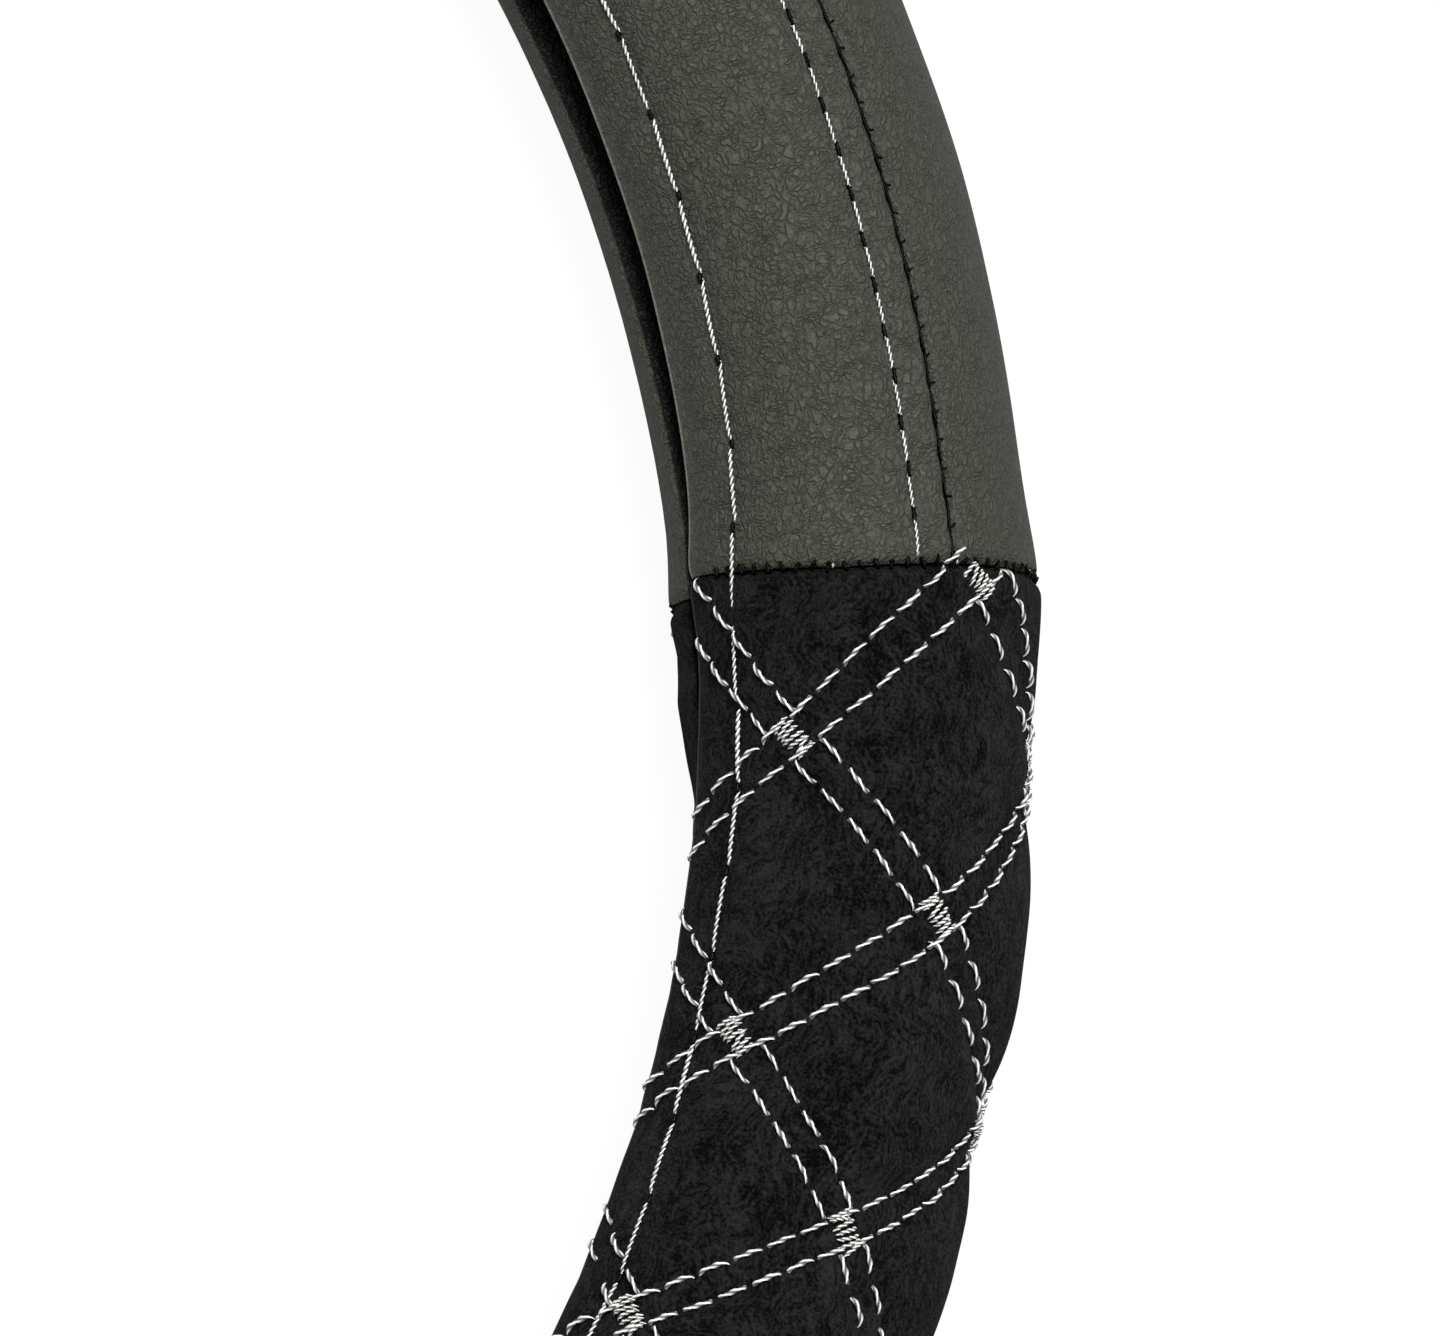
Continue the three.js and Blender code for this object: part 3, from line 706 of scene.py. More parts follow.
def suede_height(phi, theta):
    """How far the suede's face stands off the plain round section."""
    falling, rising = lattice(phi, theta)
    since, to_cross = along_from_seam(phi)
    depth = 1 + DEEPER_ALONG * ramp(to_cross, DEEPER_FROM, DEEPER_TO)
    depth *= 1 - ridge(to_cross, SEAM_BULGE_SPREAD)
    depth = depth * (1 - LIP_LEVELLING * ramp(np.abs(theta), LIP_LEVEL_THETA, LIP_LEVEL_FULL_THETA))
    height = PILLOW_CREST - depth * np.maximum(pillow_drop(falling), pillow_drop(rising))
    height += SEAM_BULGE * ridge(to_cross, SEAM_BULGE_SPREAD)
    height += UNEVENNESS * soft_noise(since / SUEDE_HILL, theta * ARC / SUEDE_HILL, 4)
    from_hem = (np.abs(theta) - hem_angle(phi)) * ARC
    height -= STITCH_PULL * ridge(from_hem, STITCH_SPREAD)
    height -= edge_dip(to_cross, theta, SUEDE_EDGE_DIP, SUEDE_EDGE_SPREAD)
    return height


def black_suede():
    """Polyester microsuede, black: a short brushed pile that lies in curling tufts.

    Tufts that lean to the light are a little paler, and the pile's ends catch a soft sheen. Single
    fibres are too fine to show, so the pile is drawn in specks of about 0.4 mm.
    """
    material, tree, output = new_material("black_suede")
    skin = add_node(tree, "ShaderNodeUVMap", uv_map="skin").outputs["UV"]
    lean = add_node(tree, "ShaderNodeTexNoise", {"Vector": skin, "Scale": per_metre(PILE_BEND_SIZE),
                                                 "Detail": 2.0})
    bent = add_node(tree, "ShaderNodeMix", {0: PILE_BEND * MM, 4: skin, 5: lean.outputs["Color"]},
                    data_type="VECTOR")
    stroke = add_node(tree, "ShaderNodeMapping", {"Vector": bent.outputs[1], "Rotation": (0, 0, 0.9),
                                                  "Scale": (1.0, 2.4, 1.0)})
    tuft = add_node(tree, "ShaderNodeTexNoise", {"Vector": stroke.outputs["Vector"],
                                                 "Scale": per_metre(PILE_TUFT), "Detail": 3.0,
                                                 "Roughness": 0.7, "Distortion": 0.35})
    speckle = add_node(tree, "ShaderNodeTexNoise", {"Vector": skin, "Scale": per_metre(PILE_SPECK),
                                                    "Detail": 1.0})
    patch = add_node(tree, "ShaderNodeTexNoise", {"Vector": skin, "Scale": per_metre(PILE_PATCH),
                                                  "Detail": 3.0})
    rough = add_node(tree, "ShaderNodeMath", {0: speckle.outputs["Fac"], 1: 0.6,
                                              2: tuft.outputs["Fac"]}, operation="MULTIPLY_ADD")
    tone = add_node(tree, "ShaderNodeMath", {0: patch.outputs["Fac"], 1: 0.42,
                                             2: rough.outputs[0]}, operation="MULTIPLY_ADD")
    spread = add_node(tree, "ShaderNodeMapRange", {"Value": tone.outputs[0], "From Min": 0.88,
                                                   "From Max": 1.2})
    colour = add_node(tree, "ShaderNodeMix", {0: spread.outputs["Result"], 6: linear("#010101"),
                                              7: linear("#242424")}, data_type="RGBA")
    # Painted highlight: the front lip's crest is paler, #545455.
    shade = fold_highlight_and_shade(tree, colour.outputs[2], "#545455")
    bump = add_node(tree, "ShaderNodeBump", {"Height": rough.outputs[0], "Strength": 1.0,
                                             "Distance": PILE_DEPTH * MM})
    shader = add_node(tree, "ShaderNodeBsdfPrincipled", {"Base Color": shade.outputs[2],
                                                         "Roughness": 0.95, "IOR": 1.3,
                                                         "Specular IOR Level": 0.15,
                                                         "Sheen Weight": 0.02, "Sheen Roughness": 0.5,
                                                         "Normal": bump.outputs["Normal"]})
    tree.links.new(shader.outputs["BSDF"], output.inputs["Surface"])
    return material


def suede_rows(start):
    """Rows of a suede panel from lip to lip, with painted shade where its ends dip into the cross seams."""
    phis = eased_phis(start, SUEDE_STEP)
    lip = lip_angle(phis)[:, None]
    theta = lip * np.linspace(-1, 1, SUEDE_COLUMNS)[None, 1:-1]
    radius = SECTION_RADIUS + suede_height(phis[:, None], theta)
    points, uvs, painted_light = skin_rows(phis, theta, radius, True, True)
    _, to_cross = along_from_seam(phis)
    # Painted shade at the panel's ends, where they dip into the cross seams.
    return points, uvs, painted_light - EDGE_SHADE * ridge(to_cross, EDGE_SHADE_SPREAD)[:, None]


suede = black_suede()
for where, start in (("right", SEAM_PHI - QUARTER), ("left", SEAM_PHI + QUARTER)):
    points, uvs, painted_light = suede_rows(start)
    node = f"suede_panel_{where}"
    mesh = loop_mesh(node, points, uvs, False, {"painted_light": painted_light})
    panel = add_piece(f"suede_{where}", mesh, suede, "suede", node)

# Hem thread
# Silver polyester thread of two twisted plies, in long stitches beside both lips. It holds the
# skin's turned edges to the liner. Short near-black strands lie in the needle holes between stitches.
PLIES = 2
PLY_LENGTH = 0.8
PLY_VALLEY = 0.76
STRAND_STEP = 0.2
STITCH_TAPER = 0.5
SILVER_WIDTH = 0.52
THREAD_BEDDING = 0.08
THREAD_LIFT = SILVER_WIDTH / 2 - THREAD_BEDDING
THREAD_FIBRE = 0.5556
LEAST_STITCH, MOST_STITCH = (0.96, 0.88, 0.85), (1.02, 1.12, 1.15)
STITCH_WANDER = (0.3, 0.02, 0.03)
NEAR_STITCH_END = 0.42
HEM_STITCH = 9.3
HEM_PAST_SEAM = 4.4
HEM_LINE_STEP = 0.4
REAR_HEM_SHIFT_THETA = 22.0
HOLE_LENGTH, HOLE_WIDTH = 1.3, 0.68


def strand(length, width, arch=0.0, dive=0.5, ahead=0.0, across=False, ply=PLY_LENGTH):
    """A stitch along X, or across it: twisted plies that rise from a needle hole and dive into the next.

    Its section has a corner for each ply's crest and one for each valley between them. It arches
    over the skin, thins towards its ends, and may lie ahead of its place, as in a needle hole.
    """
    rings = int(length / STRAND_STEP) + 2
    share = np.linspace(-1, 1, rings)[:, None]
    corner = np.arange(2 * PLIES)[None, :]
    turn = np.pi * corner / PLIES + share * length / ply * np.pi / PLIES
    reach = width / 2 * np.where(corner % 2 == 0, 1, PLY_VALLEY) * (1 - STITCH_TAPER * share**6)
    x = share * length / 2 + ahead + 0 * turn
    y = reach * np.cos(turn)
    z = reach * np.sin(turn) + arch * (1 - share**2) - dive * share**8
    points = np.stack([-y, x, z] if across else [x, y, z], -1) * MM
    number = np.arange(points.shape[0] * 2 * PLIES).reshape(-1, 2 * PLIES)
    here, beside = number[:-1], np.roll(number, -1, 1)[:-1]
    onward, over = number[1:], np.roll(number, -1, 1)[1:]
    quads = np.stack([here, beside, over, onward], -1).reshape(-1, 4)
    mesh = bpy.data.meshes.new("stitch")
    mesh.from_pydata(points.reshape(-1, 3).tolist(), [],
                     quads.tolist() + [list(number[0][::-1]), list(number[-1])])
    if sum_volume(mesh) < 0:
        mesh.flip_normals()
    mesh.polygons.foreach_set("use_smooth", [True] * len(mesh.polygons))
    crest = np.broadcast_to(corner % 2 == 0, turn.shape).astype(np.float32)
    mesh.attributes.new("crest", "FLOAT", "POINT").data.foreach_set("value", crest.ravel())
    return bpy.data.objects.new("stitch", mesh)


def row_of_stitches():
    """Geometry nodes that set a stitch at each pitch along lines, turned to the line and the skin."""
    tree = bpy.data.node_groups.new("row_of_stitches", "GeometryNodeTree")
    for name, kind in (("Lines", "Geometry"), ("Stitch", "Object"), ("Pitch", "Float"), ("Wander", "Vector"),
                       ("Seed", "Int"), ("Thread", "Material")):
        tree.interface.new_socket(name, in_out="INPUT", socket_type="NodeSocket" + kind)
    tree.interface.new_socket("Row", in_out="OUTPUT", socket_type="NodeSocketGeometry")
    given = add_node(tree, "NodeGroupInput").outputs
    curve = add_node(tree, "GeometryNodeMeshToCurve", {"Mesh": given["Lines"]})
    spaced = add_node(tree, "GeometryNodeResampleCurve", {"Curve": curve.outputs[0],
                                                          "Length": given["Pitch"]}, mode="LENGTH")
    tangent = add_node(tree, "GeometryNodeInputTangent")
    outward = add_node(tree, "GeometryNodeInputNamedAttribute", {"Name": "outward"},
                       data_type="FLOAT_VECTOR")
    along = add_node(tree, "FunctionNodeAlignRotationToVector", {"Vector": tangent.outputs[0]}, axis="X")
    level = add_node(tree, "FunctionNodeAlignRotationToVector", {"Rotation": along.outputs[0],
                                                                 "Vector": outward.outputs[0]},
                     axis="Z", pivot_axis="X")
    least = add_node(tree, "ShaderNodeVectorMath", {0: given["Wander"], "Scale": -1.0}, operation="SCALE")
    stray = add_node(tree, "FunctionNodeRandomValue", {0: least.outputs[0], 1: given["Wander"],
                                                       "Seed": given["Seed"]}, data_type="FLOAT_VECTOR")
    askew = add_node(tree, "FunctionNodeEulerToRotation", {0: stray.outputs[0]})
    turned = add_node(tree, "FunctionNodeRotateRotation", {0: level.outputs[0], 1: askew.outputs[0]},
                      rotation_space="LOCAL")
    size = add_node(tree, "FunctionNodeRandomValue", {0: LEAST_STITCH, 1: MOST_STITCH,
                                                      "Seed": given["Seed"]}, data_type="FLOAT_VECTOR")
    stitch = add_node(tree, "GeometryNodeObjectInfo", {"Object": given["Stitch"]})
    placed = add_node(tree, "GeometryNodeInstanceOnPoints", {"Points": spaced.outputs[0],
                                                             "Instance": stitch.outputs["Geometry"],
                                                             "Rotation": turned.outputs[0],
                                                             "Scale": size.outputs[0]})
    real = add_node(tree, "GeometryNodeRealizeInstances", {0: placed.outputs[0]})
    dressed = add_node(tree, "GeometryNodeSetMaterial", {"Geometry": real.outputs[0],
                                                         "Material": given["Thread"]})
    add_node(tree, "NodeGroupOutput", {0: dressed.outputs[0]})
    return tree


stitch_rows = row_of_stitches()


def sew(name, lines, stitch, pitch, thread, slot, *nodes, wander=STITCH_WANDER, seed=0):
    """Stitches along lines of ring angle, section angle and radius, made into one piece.

    The wander is the most that a stitch turns about its own three axes, in radians. What would sink
    below the ground is pressed flat on it.
    """
    starts = np.cumsum([0] + [len(phi) for phi, _, _ in lines])
    edges = [(k, k + 1) for a, b in zip(starts, starts[1:]) for k in range(a, b - 1)]
    phi, theta, radius = (np.concatenate([line[k] for line in lines]) for k in range(3))
    mesh = bpy.data.meshes.new("lines")
    mesh.from_pydata(on_ring(phi, theta, radius).tolist(), edges, [])
    phi, theta = np.radians(phi), np.radians(theta)
    outward = np.stack([np.cos(theta) * np.cos(phi), np.cos(theta) * np.sin(phi), np.sin(theta)], -1)
    mesh.attributes.new("outward", "FLOAT_VECTOR", "POINT").data.foreach_set("vector", outward.ravel())
    source = bpy.data.objects.new("lines", mesh)
    rows = source.modifiers.new("rows", "NODES")
    rows.node_group = stitch_rows
    values = {"Stitch": stitch, "Pitch": pitch * MM, "Wander": wander, "Seed": seed, "Thread": thread}
    for item in stitch_rows.interface.items_tree:
        if item.name in values:
            rows[item.identifier] = values[item.name]
    for made in (source, stitch):
        scene.collection.objects.link(made)
    graph = bpy.context.evaluated_depsgraph_get()
    baked = bpy.data.meshes.new_from_object(source.evaluated_get(graph), preserve_all_data_layers=True,
                                            depsgraph=graph)
    points = np.empty(len(baked.vertices) * 3, np.float32)
    baked.vertices.foreach_get("co", points)
    points[2::3] = np.maximum(points[2::3], 0.0)
    baked.vertices.foreach_set("co", points)
    for made in (source, stitch):
        bpy.data.objects.remove(made)
    return add_piece(name, baked, thread, slot, *nodes)


def skin_radius(phi, theta):
    """The skin's face at a point, leather or suede, and past the fold's centre its rounded lip."""
    height = np.where(in_leather(phi), leather_height(phi, theta), suede_height(phi, theta))
    shown = SECTION_RADIUS - LIP_CENTRE_RADIUS
    past = np.clip((np.abs(theta) - lip_angle(phi)) * math.radians(LIP_CENTRE_RADIUS) / shown, 0, 1)
    return LIP_CENTRE_RADIUS + shown * (1 - past**FOLD_SQUARENESS) ** (1 / FOLD_SQUARENESS) + height


def run_along(line):
    """Millimetres along a line up to each of its points."""
    points = on_ring(*line) / MM
    return np.cumsum(np.linalg.norm(np.diff(points, axis=0, prepend=points[:1]), axis=-1))


def laid_on(phi, theta, stitch, lift):
    """A line over the skin on which a straight stitch clears it at its middle and near both ends."""
    radius = skin_radius(phi, theta)
    run = run_along((phi, theta, radius))
    reach = NEAR_STITCH_END * stitch
    ends = [np.interp(run + aside, run, radius) for aside in (-reach, reach)]
    return phi, theta, np.maximum(radius, sum(ends) / 2) + lift


def trimmed(line, length):
    """A line without this many millimetres at either end."""
    run = run_along(line)
    keep = (run >= length) & (run <= run[-1] - length)
    return tuple(part[keep] for part in line)


def twisted_thread(name, low, high, shine):
    """Spun polyester: a satin twist, each ply pale along its crest, with painted shade where it meets the
    next.

    The fibres are too fine to show, so they are drawn as specks of about half a millimetre.
    """
    material, tree, output = new_material(name)
    place = add_node(tree, "ShaderNodeTexCoord").outputs["Object"]
    fibre = add_node(tree, "ShaderNodeTexNoise", {"Vector": place, "Scale": per_metre(THREAD_FIBRE),
                                                  "Detail": 2.0})
    crest = add_node(tree, "ShaderNodeAttribute", attribute_name="crest")
    mixed = add_node(tree, "ShaderNodeMath", {0: fibre.outputs["Fac"], 1: 0.5,
                                              2: crest.outputs["Fac"]}, operation="MULTIPLY_ADD")
    spread = add_node(tree, "ShaderNodeMapRange", {"Value": mixed.outputs[0], "From Min": 0.5,
                                                   "From Max": 0.95})
    # Painted shade: the low colour darkens the valleys between the plies.
    colour = add_node(tree, "ShaderNodeMix", {0: spread.outputs["Result"], 6: linear(low),
                                              7: linear(high)}, data_type="RGBA")
    shader = add_node(tree, "ShaderNodeBsdfPrincipled", {"Base Color": colour.outputs[2],
                                                         "Roughness": 0.4, "IOR": 1.5,
                                                         "Specular IOR Level": shine})
    tree.links.new(shader.outputs["BSDF"], output.inputs["Surface"])
    return material


def hem_lines(side):
    """The hem's rows beside one lip, one for each arc. The leather's run a stitch past the seams."""
    lines = []
    for quarter in range(4):
        start = SEAM_PHI + quarter * QUARTER
        past = HEM_PAST_SEAM / DEGREE * (1 if quarter % 2 == 0 else -1)
        phi = np.arange(start - past, start + QUARTER + past, HEM_LINE_STEP)
        theta = side * (hem_angle(phi) - (REAR_HEM_SHIFT_THETA if side < 0 else 0))
        lines.append(trimmed(laid_on(phi, theta, HEM_STITCH, THREAD_LIFT), HEM_PITCH / 2))
    return lines


# The low colours are painted shade in the valleys between the plies.
silver_thread = twisted_thread("silver_thread", "#575654", "#fdfcf9", 0.5)
black_thread = twisted_thread("black_thread", "#010101", "#050505", 0.08)
for where, side in (("front", 1), ("rear", -1)):
    stitch = strand(HEM_STITCH, SILVER_WIDTH, arch=0.1)
    sew(f"hem_{where}", hem_lines(side), stitch, HEM_PITCH, silver_thread, "silver_thread",
        f"hem_thread_{where}", seed=1)
    below = strand(HOLE_LENGTH, HOLE_WIDTH, dive=0.2, ahead=HEM_PITCH / 2)
    sew(f"hem_holes_{where}", hem_lines(side), below, HEM_PITCH, black_thread, "black_thread", seed=2)

# Topstitch
# A shorter stitch in the same silver thread, which holds the face seam's allowance flat beside it.
# Longer near-black strands lie in the needle holes between these stitches.
TOPSTITCH_LENGTH = 4.3
TOPSTITCH_WIDTH = 0.44
TOPSTITCH_WANDER = (0.35, 0.07, 0.05)
TOPSTITCH_HOLE_LENGTH, TOPSTITCH_HOLE_WIDTH = 2.2, 0.56
LEATHER_LINE_STEP = 0.2


def leather_line(start, theta, inset):
    """A line round a leather arc at one section angle, clear of the seams at both ends."""
    phi = np.arange(start, start + QUARTER, LEATHER_LINE_STEP)
    theta = np.full(phi.shape, theta)
    return trimmed(laid_on(phi, theta, TOPSTITCH_LENGTH, 0.0), inset)


topstitch_theta = FACE_SEAM_THETA + arc_angle(TOPSTITCH_INSET, SECTION_RADIUS)
for where, start in LEATHER_ARCS:
    phi, theta, radius = leather_line(start, topstitch_theta, TOPSTITCH_PITCH / 2)
    line = [(phi, theta, radius + THREAD_LIFT)]
    sew(f"topstitch_{where}", line, strand(TOPSTITCH_LENGTH, TOPSTITCH_WIDTH, arch=0.1), TOPSTITCH_PITCH,
        silver_thread, "silver_thread", f"topstitch_thread_{where}", wander=TOPSTITCH_WANDER, seed=3)
    below = strand(TOPSTITCH_HOLE_LENGTH, TOPSTITCH_HOLE_WIDTH, arch=0.1, dive=0.3,
                   ahead=TOPSTITCH_PITCH / 2)
    sew(f"topstitch_holes_{where}", line, below, TOPSTITCH_PITCH, black_thread, "black_thread",
        wander=TOPSTITCH_WANDER, seed=4)

# Face seam thread
# Black thread down in the seam between the two leather panels, hardly to be seen. Short
# near-black ticks lie across the seam's outer side.
FACE_SEAM_PITCH = 4.0
FACE_STITCH, FACE_THREAD_WIDTH = 4.1, 0.44
FACE_THREAD_LIFT = 0.1
FACE_THREAD_INSET = 1.0
FACE_TICK, FACE_TICK_WIDTH = 0.8, 0.3
FACE_TICK_PITCH = 3.1
FACE_TICK_WANDER = (0.3, 0.2, 0.7)

for where, start in LEATHER_ARCS:
    phi, theta, radius = leather_line(start, FACE_SEAM_THETA, FACE_THREAD_INSET)
    sew(f"face_seam_{where}", [(phi, theta, radius + FACE_THREAD_LIFT)],
        strand(FACE_STITCH, FACE_THREAD_WIDTH, dive=0.1), FACE_SEAM_PITCH, black_thread, "black_thread",
        f"face_seam_thread_{where}", seed=5)
    tick_theta = FACE_SEAM_THETA - arc_angle(FACE_TICK / 2, SECTION_RADIUS)
    sew(f"face_seam_ticks_{where}", [leather_line(start, tick_theta, FACE_THREAD_INSET)],
        strand(FACE_TICK, FACE_TICK_WIDTH, dive=0.3, across=True), FACE_TICK_PITCH, black_thread,
        "black_thread", wander=FACE_TICK_WANDER, seed=17)

# Cross seam threads
# Black thread over each seam between leather and suede, in short stitches that notch the leather's
# edge. Here and there a speck of silver thread from below comes up.
CROSS_STITCH_PITCH = 1.7
CROSS_STITCH = 1.4
CROSS_THREAD_WIDTH = 0.6
CROSS_THREAD_DEPTH = 0.2
CROSS_THREAD_SHIFT = 0.25
CROSS_THREAD_END_THETA = 165.0
CROSS_LINE_STEP = 2.0
CROSS_THREAD_WANDER = (0.7, 0.25, 0.8)
REAR_SINK = 0.4
REAR_SINK_THETA = -110.0
SPECK_PITCH = 13.0
SPECK_LENGTH, SPECK_WIDTH = 0.6, 0.3
SPECK_WANDER = (0.5, 0.3, 0.8)
seam_specks = []
for seam in range(4):
    theta = np.arange(-CROSS_THREAD_END_THETA, CROSS_THREAD_END_THETA, CROSS_LINE_STEP)
    towards_leather = CROSS_THREAD_SHIFT / DEGREE * (1 if seam % 2 == 0 else -1)
    phi = np.full(theta.shape, SEAM_PHI + seam * QUARTER + towards_leather)
    radius = SECTION_RADIUS + SEAM_BULGE - CROSS_THREAD_DEPTH + INNER_FULLNESS * inward(theta)
    radius = radius - np.where(theta < REAR_SINK_THETA, REAR_SINK, 0.0)
    stitch = strand(CROSS_STITCH, CROSS_THREAD_WIDTH, dive=0.4, across=True)
    sew(f"cross_seam_{seam + 1}", [(phi, theta, radius)], stitch, CROSS_STITCH_PITCH, black_thread,
        "black_thread", f"cross_seam_thread_{seam + 1}", wander=CROSS_THREAD_WANDER, seed=6 + seam)
    seam_specks.append((phi, theta, radius))
sew("seam_specks", seam_specks, strand(SPECK_LENGTH, SPECK_WIDTH, dive=0.2, across=True), SPECK_PITCH,
    silver_thread, "silver_thread", wander=SPECK_WANDER, seed=10)

# Diamond thread
# Twin rows of silver stitches along each line of the suede's lattice. Rising rows run straight on
# through a crossing, and falling rows break off there.
ROW_STITCH = 3.7
ROW_THREAD_WIDTH = 0.6
ROW_PLY = 1.7
ROW_REACH = 1.9
ROW_PAST_SEAM = 2.4
REAR_ROWS_THETA = -140.0
FALLING_BEND = 2.4
FALLING_BEND_THETA, FALLING_BEND_FULL_THETA = 135.0, 170.0
RISING_BEND = 1.3
RISING_BEND_FULL_THETA, RISING_BEND_THETA = 30.0, 70.0
ROW_STRAYS = {-1: (0.0, 15.0, 1.7), 1: (46.0, 12.0, 0.9)}
ROW_THETAS = np.arange(-175.0, 178.0, 0.4)
SETTLING_ROUNDS = 5
SHORTEST_RUN_POINTS = 8
LATTICE_LINES = range(-3, 12)
ROW_WANDER = (0.4, 0.03, 0.08)


def phi_down(along, side):
    """The ring angle so far down from the upper cross seam, on the right (1) or on the left (-1)."""
    return SEAM_PHI - along / DEGREE if side > 0 else 180 - SEAM_PHI + along / DEGREE


def row_offset(along, beside):
    """How far a row stands off its lattice line, above (-1) or below it (1). It strays in places."""
    where, spread, most = ROW_STRAYS[beside]
    return beside * (ROW_OFFSET + most * ridge(along - where, spread))


def row_bend(theta, falls):
    """Millimetres up the panel by which a row strays: falling ones at the lip, rising ones outside."""
    if falls:
        return FALLING_BEND * ramp(theta, FALLING_BEND_THETA, FALLING_BEND_FULL_THETA) ** 2
    return RISING_BEND * (1 - ramp(theta, RISING_BEND_FULL_THETA, RISING_BEND_THETA))


def lattice_row(k, beside, falls, side):
    """A row beside the k-th line of one family, as runs between crossings. The side is 1 or -1.

    How far it stands off the line depends on its place along the panel, so the two settle in turn.
    """
    theta = ROW_THETAS
    along = 0 * theta
    for _ in range(SETTLING_ROUNDS):
        v = (theta - corner_theta(along)) / HALF_DIAMOND_THETA
        off = row_offset(along, beside) * line_slope(theta)
        along = FIRST_CORNER + HALF_TALL * (2 * k + off + (-v if falls else v)) - row_bend(theta, falls)
    phi = phi_down(along, side)
    first = -ROW_PAST_SEAM if k == 0 and beside < 0 and not falls else SEAM_GAP
    inside = (along > first) & (along < QUARTER * DEGREE - SEAM_GAP)
    inside &= theta < lip_angle(phi) + arc_angle(ROW_REACH, LIP_CENTRE_RADIUS)
    inside &= theta > REAR_ROWS_THETA
    if falls:
        inside &= np.abs(lattice(phi, theta)[1]) > ROW_OFFSET
    runs = np.split(np.arange(len(theta)), np.flatnonzero(np.diff(inside.astype(int))) + 1)
    lines = [laid_on(phi[run], theta[run], ROW_STITCH, THREAD_LIFT)
             for run in runs if inside[run[0]] and len(run) > SHORTEST_RUN_POINTS]
    lines = [trimmed(line, LATTICE_PITCH / 2) for line in lines]
    return [line for line in lines if len(line[0]) > 1]


for where, side in (("right", 1), ("left", -1)):
    rows = []
    for k in LATTICE_LINES:
        for beside in (-1, 1):
            rows += lattice_row(k, beside, True, side) + lattice_row(k, beside, False, side)
    stitch = strand(ROW_STITCH, ROW_THREAD_WIDTH, arch=0.4, ply=ROW_PLY)
    sew(f"diamond_rows_{where}", rows, stitch, LATTICE_PITCH, silver_thread, "silver_thread",
        wander=ROW_WANDER, seed=11 + side)

# Bartacks
# A zigzag of silver thread in the small square where two lines of the lattice cross. It ties the
# skin down there.
BARTACK_LENGTH = 4.4
BARTACK_WIDTH = 2.7
BARTACK_PITCH = 0.66
BARTACK_POINTS = 9
BARTACK_LIFT = 0.3
BARTACK_THREAD_WIDTH = 0.54
BARTACK_WANDER = (0.1, 0.12, 0.32)
CROSSING_COLUMNS = range(-3, 2)


def bartack(u, v, side):
    """A short line through a crossing, along the falling line."""
    step = np.linspace(-0.5, 0.5, BARTACK_POINTS) * BARTACK_LENGTH / np.hypot(HALF_TALL, HALF_WIDE)
    along = FIRST_CORNER + HALF_TALL * (u + step)
    theta = corner_theta(along) + HALF_DIAMOND_THETA * (v - step)
    along, theta = along[along > SEAM_GAP], theta[along > SEAM_GAP]
    phi = phi_down(along, side)
    return phi, theta, skin_radius(phi, theta) + BARTACK_LIFT


for where, side in (("right", 1), ("left", -1)):
    last_u = (QUARTER * DEGREE - FIRST_CORNER) / HALF_TALL
    crossings = [(u, v) for u in range(int(last_u) + 1) for v in CROSSING_COLUMNS if (u + v) % 2 == 0]
    tacks = [bartack(u, v, side) for u, v in crossings]
    stitch = strand(BARTACK_WIDTH, BARTACK_THREAD_WIDTH, arch=0.3, dive=0.4, across=True)
    sew(f"bartacks_{where}", tacks, stitch, BARTACK_PITCH, silver_thread, "silver_thread",
        wander=BARTACK_WANDER, seed=14 + side)

# Floor
# A plain white table top, which only catches the cover's soft shadow.
FLOOR_HALF = 3000.0
FLOOR_DROP = 0.2
FLOOR_GLOW = 1.1
FLOOR_GLOW_SHARE = 0.86


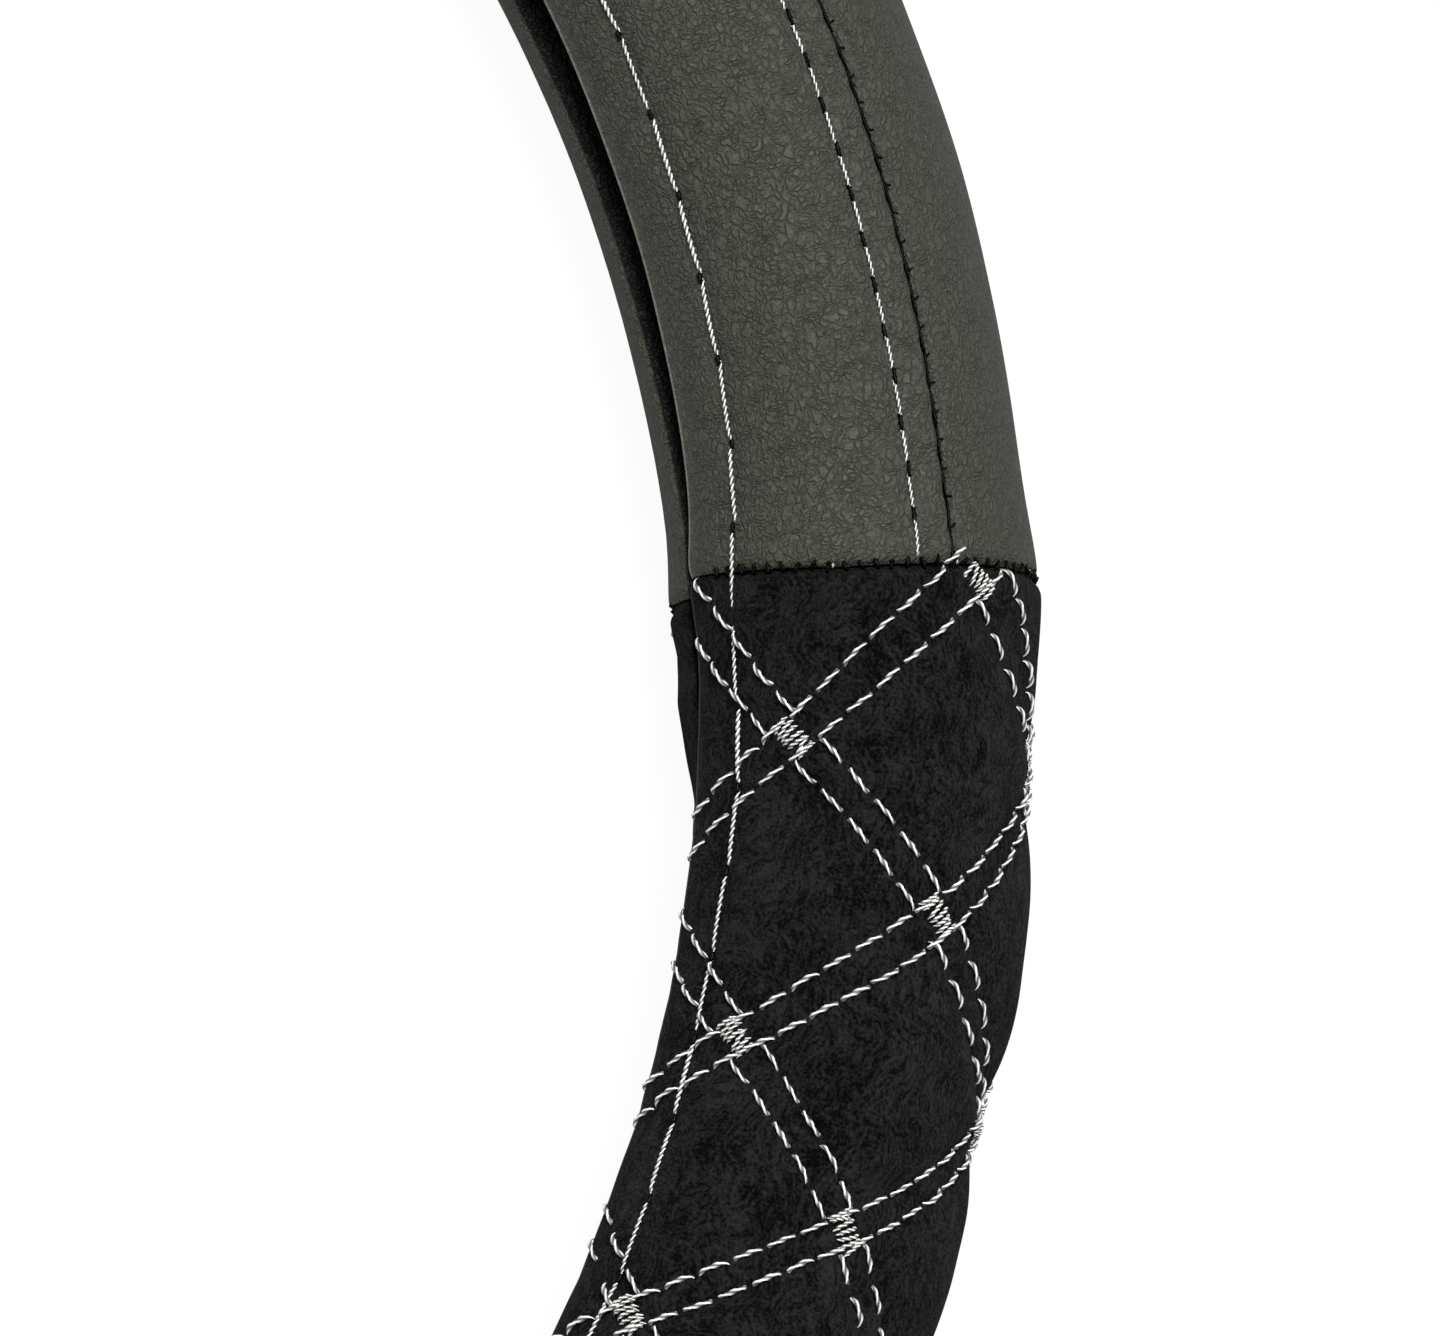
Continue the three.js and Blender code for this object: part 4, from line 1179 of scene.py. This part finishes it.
def white_table():
    """Matt white laminate. The camera sees it nearly as bright as paper."""
    material, tree, output = new_material("white_table")
    matt = add_node(tree, "ShaderNodeBsdfDiffuse", {"Color": linear("#b4b4b4")})
    glow = add_node(tree, "ShaderNodeEmission", {"Color": (1, 1, 1, 1), "Strength": FLOOR_GLOW})
    seen = add_node(tree, "ShaderNodeLightPath")
    share = add_node(tree, "ShaderNodeMath", {0: seen.outputs["Is Camera Ray"], 1: FLOOR_GLOW_SHARE},
                     operation="MULTIPLY")
    mixed = add_node(tree, "ShaderNodeMixShader", {0: share.outputs[0], 1: matt.outputs[0],
                                                   2: glow.outputs[0]})
    tree.links.new(mixed.outputs[0], output.inputs["Surface"])
    return material


floor_mesh = bpy.data.meshes.new("floor")
corners = [(x * FLOOR_HALF * MM, y * FLOOR_HALF * MM, -FLOOR_DROP * MM)
           for x, y in ((-1, -1), (1, -1), (1, 1), (-1, 1))]
floor_mesh.from_pydata(corners, [], [(0, 1, 2, 3)])
floor = bpy.data.objects.new("floor", floor_mesh)
floor.data.materials.append(white_table())
scene.collection.objects.link(floor)

# Light
# A white studio: an even surround, a large soft lamp over the rim, and one low on the outer side.
SURROUND = 0.4

world = bpy.data.worlds.new("white_studio")
scene.world = world
world.use_nodes = True
world.node_tree.nodes["Background"].inputs["Color"].default_value = (1, 1, 1, 1)
world.node_tree.nodes["Background"].inputs["Strength"].default_value = SURROUND


def add_lamp(name, phi, distance, height, size, power):
    """A square lamp over a ring angle, aimed at the seam that the camera looks at. Metres and watts."""
    data = bpy.data.lights.new(name, "AREA")
    data.size = size
    data.energy = power
    lamp = bpy.data.objects.new(name, data)
    turn = math.radians(phi)
    lamp.location = (distance * math.cos(turn), distance * math.sin(turn), height)
    seam = math.radians(SEAM_PHI)
    target = Vector((RING_RADIUS * math.cos(seam), RING_RADIUS * math.sin(seam), CENTRE_HEIGHT)) * MM
    lamp.rotation_euler = (lamp.location - target).to_track_quat("Z", "Y").to_euler()
    scene.collection.objects.link(lamp)


add_lamp("overhead_lamp", phi=SEAM_PHI + 112, distance=0.35, height=1.3, size=0.5, power=22.5)
add_lamp("outer_lamp", phi=SEAM_PHI - 10, distance=1.3, height=0.5, size=0.7, power=0.15)
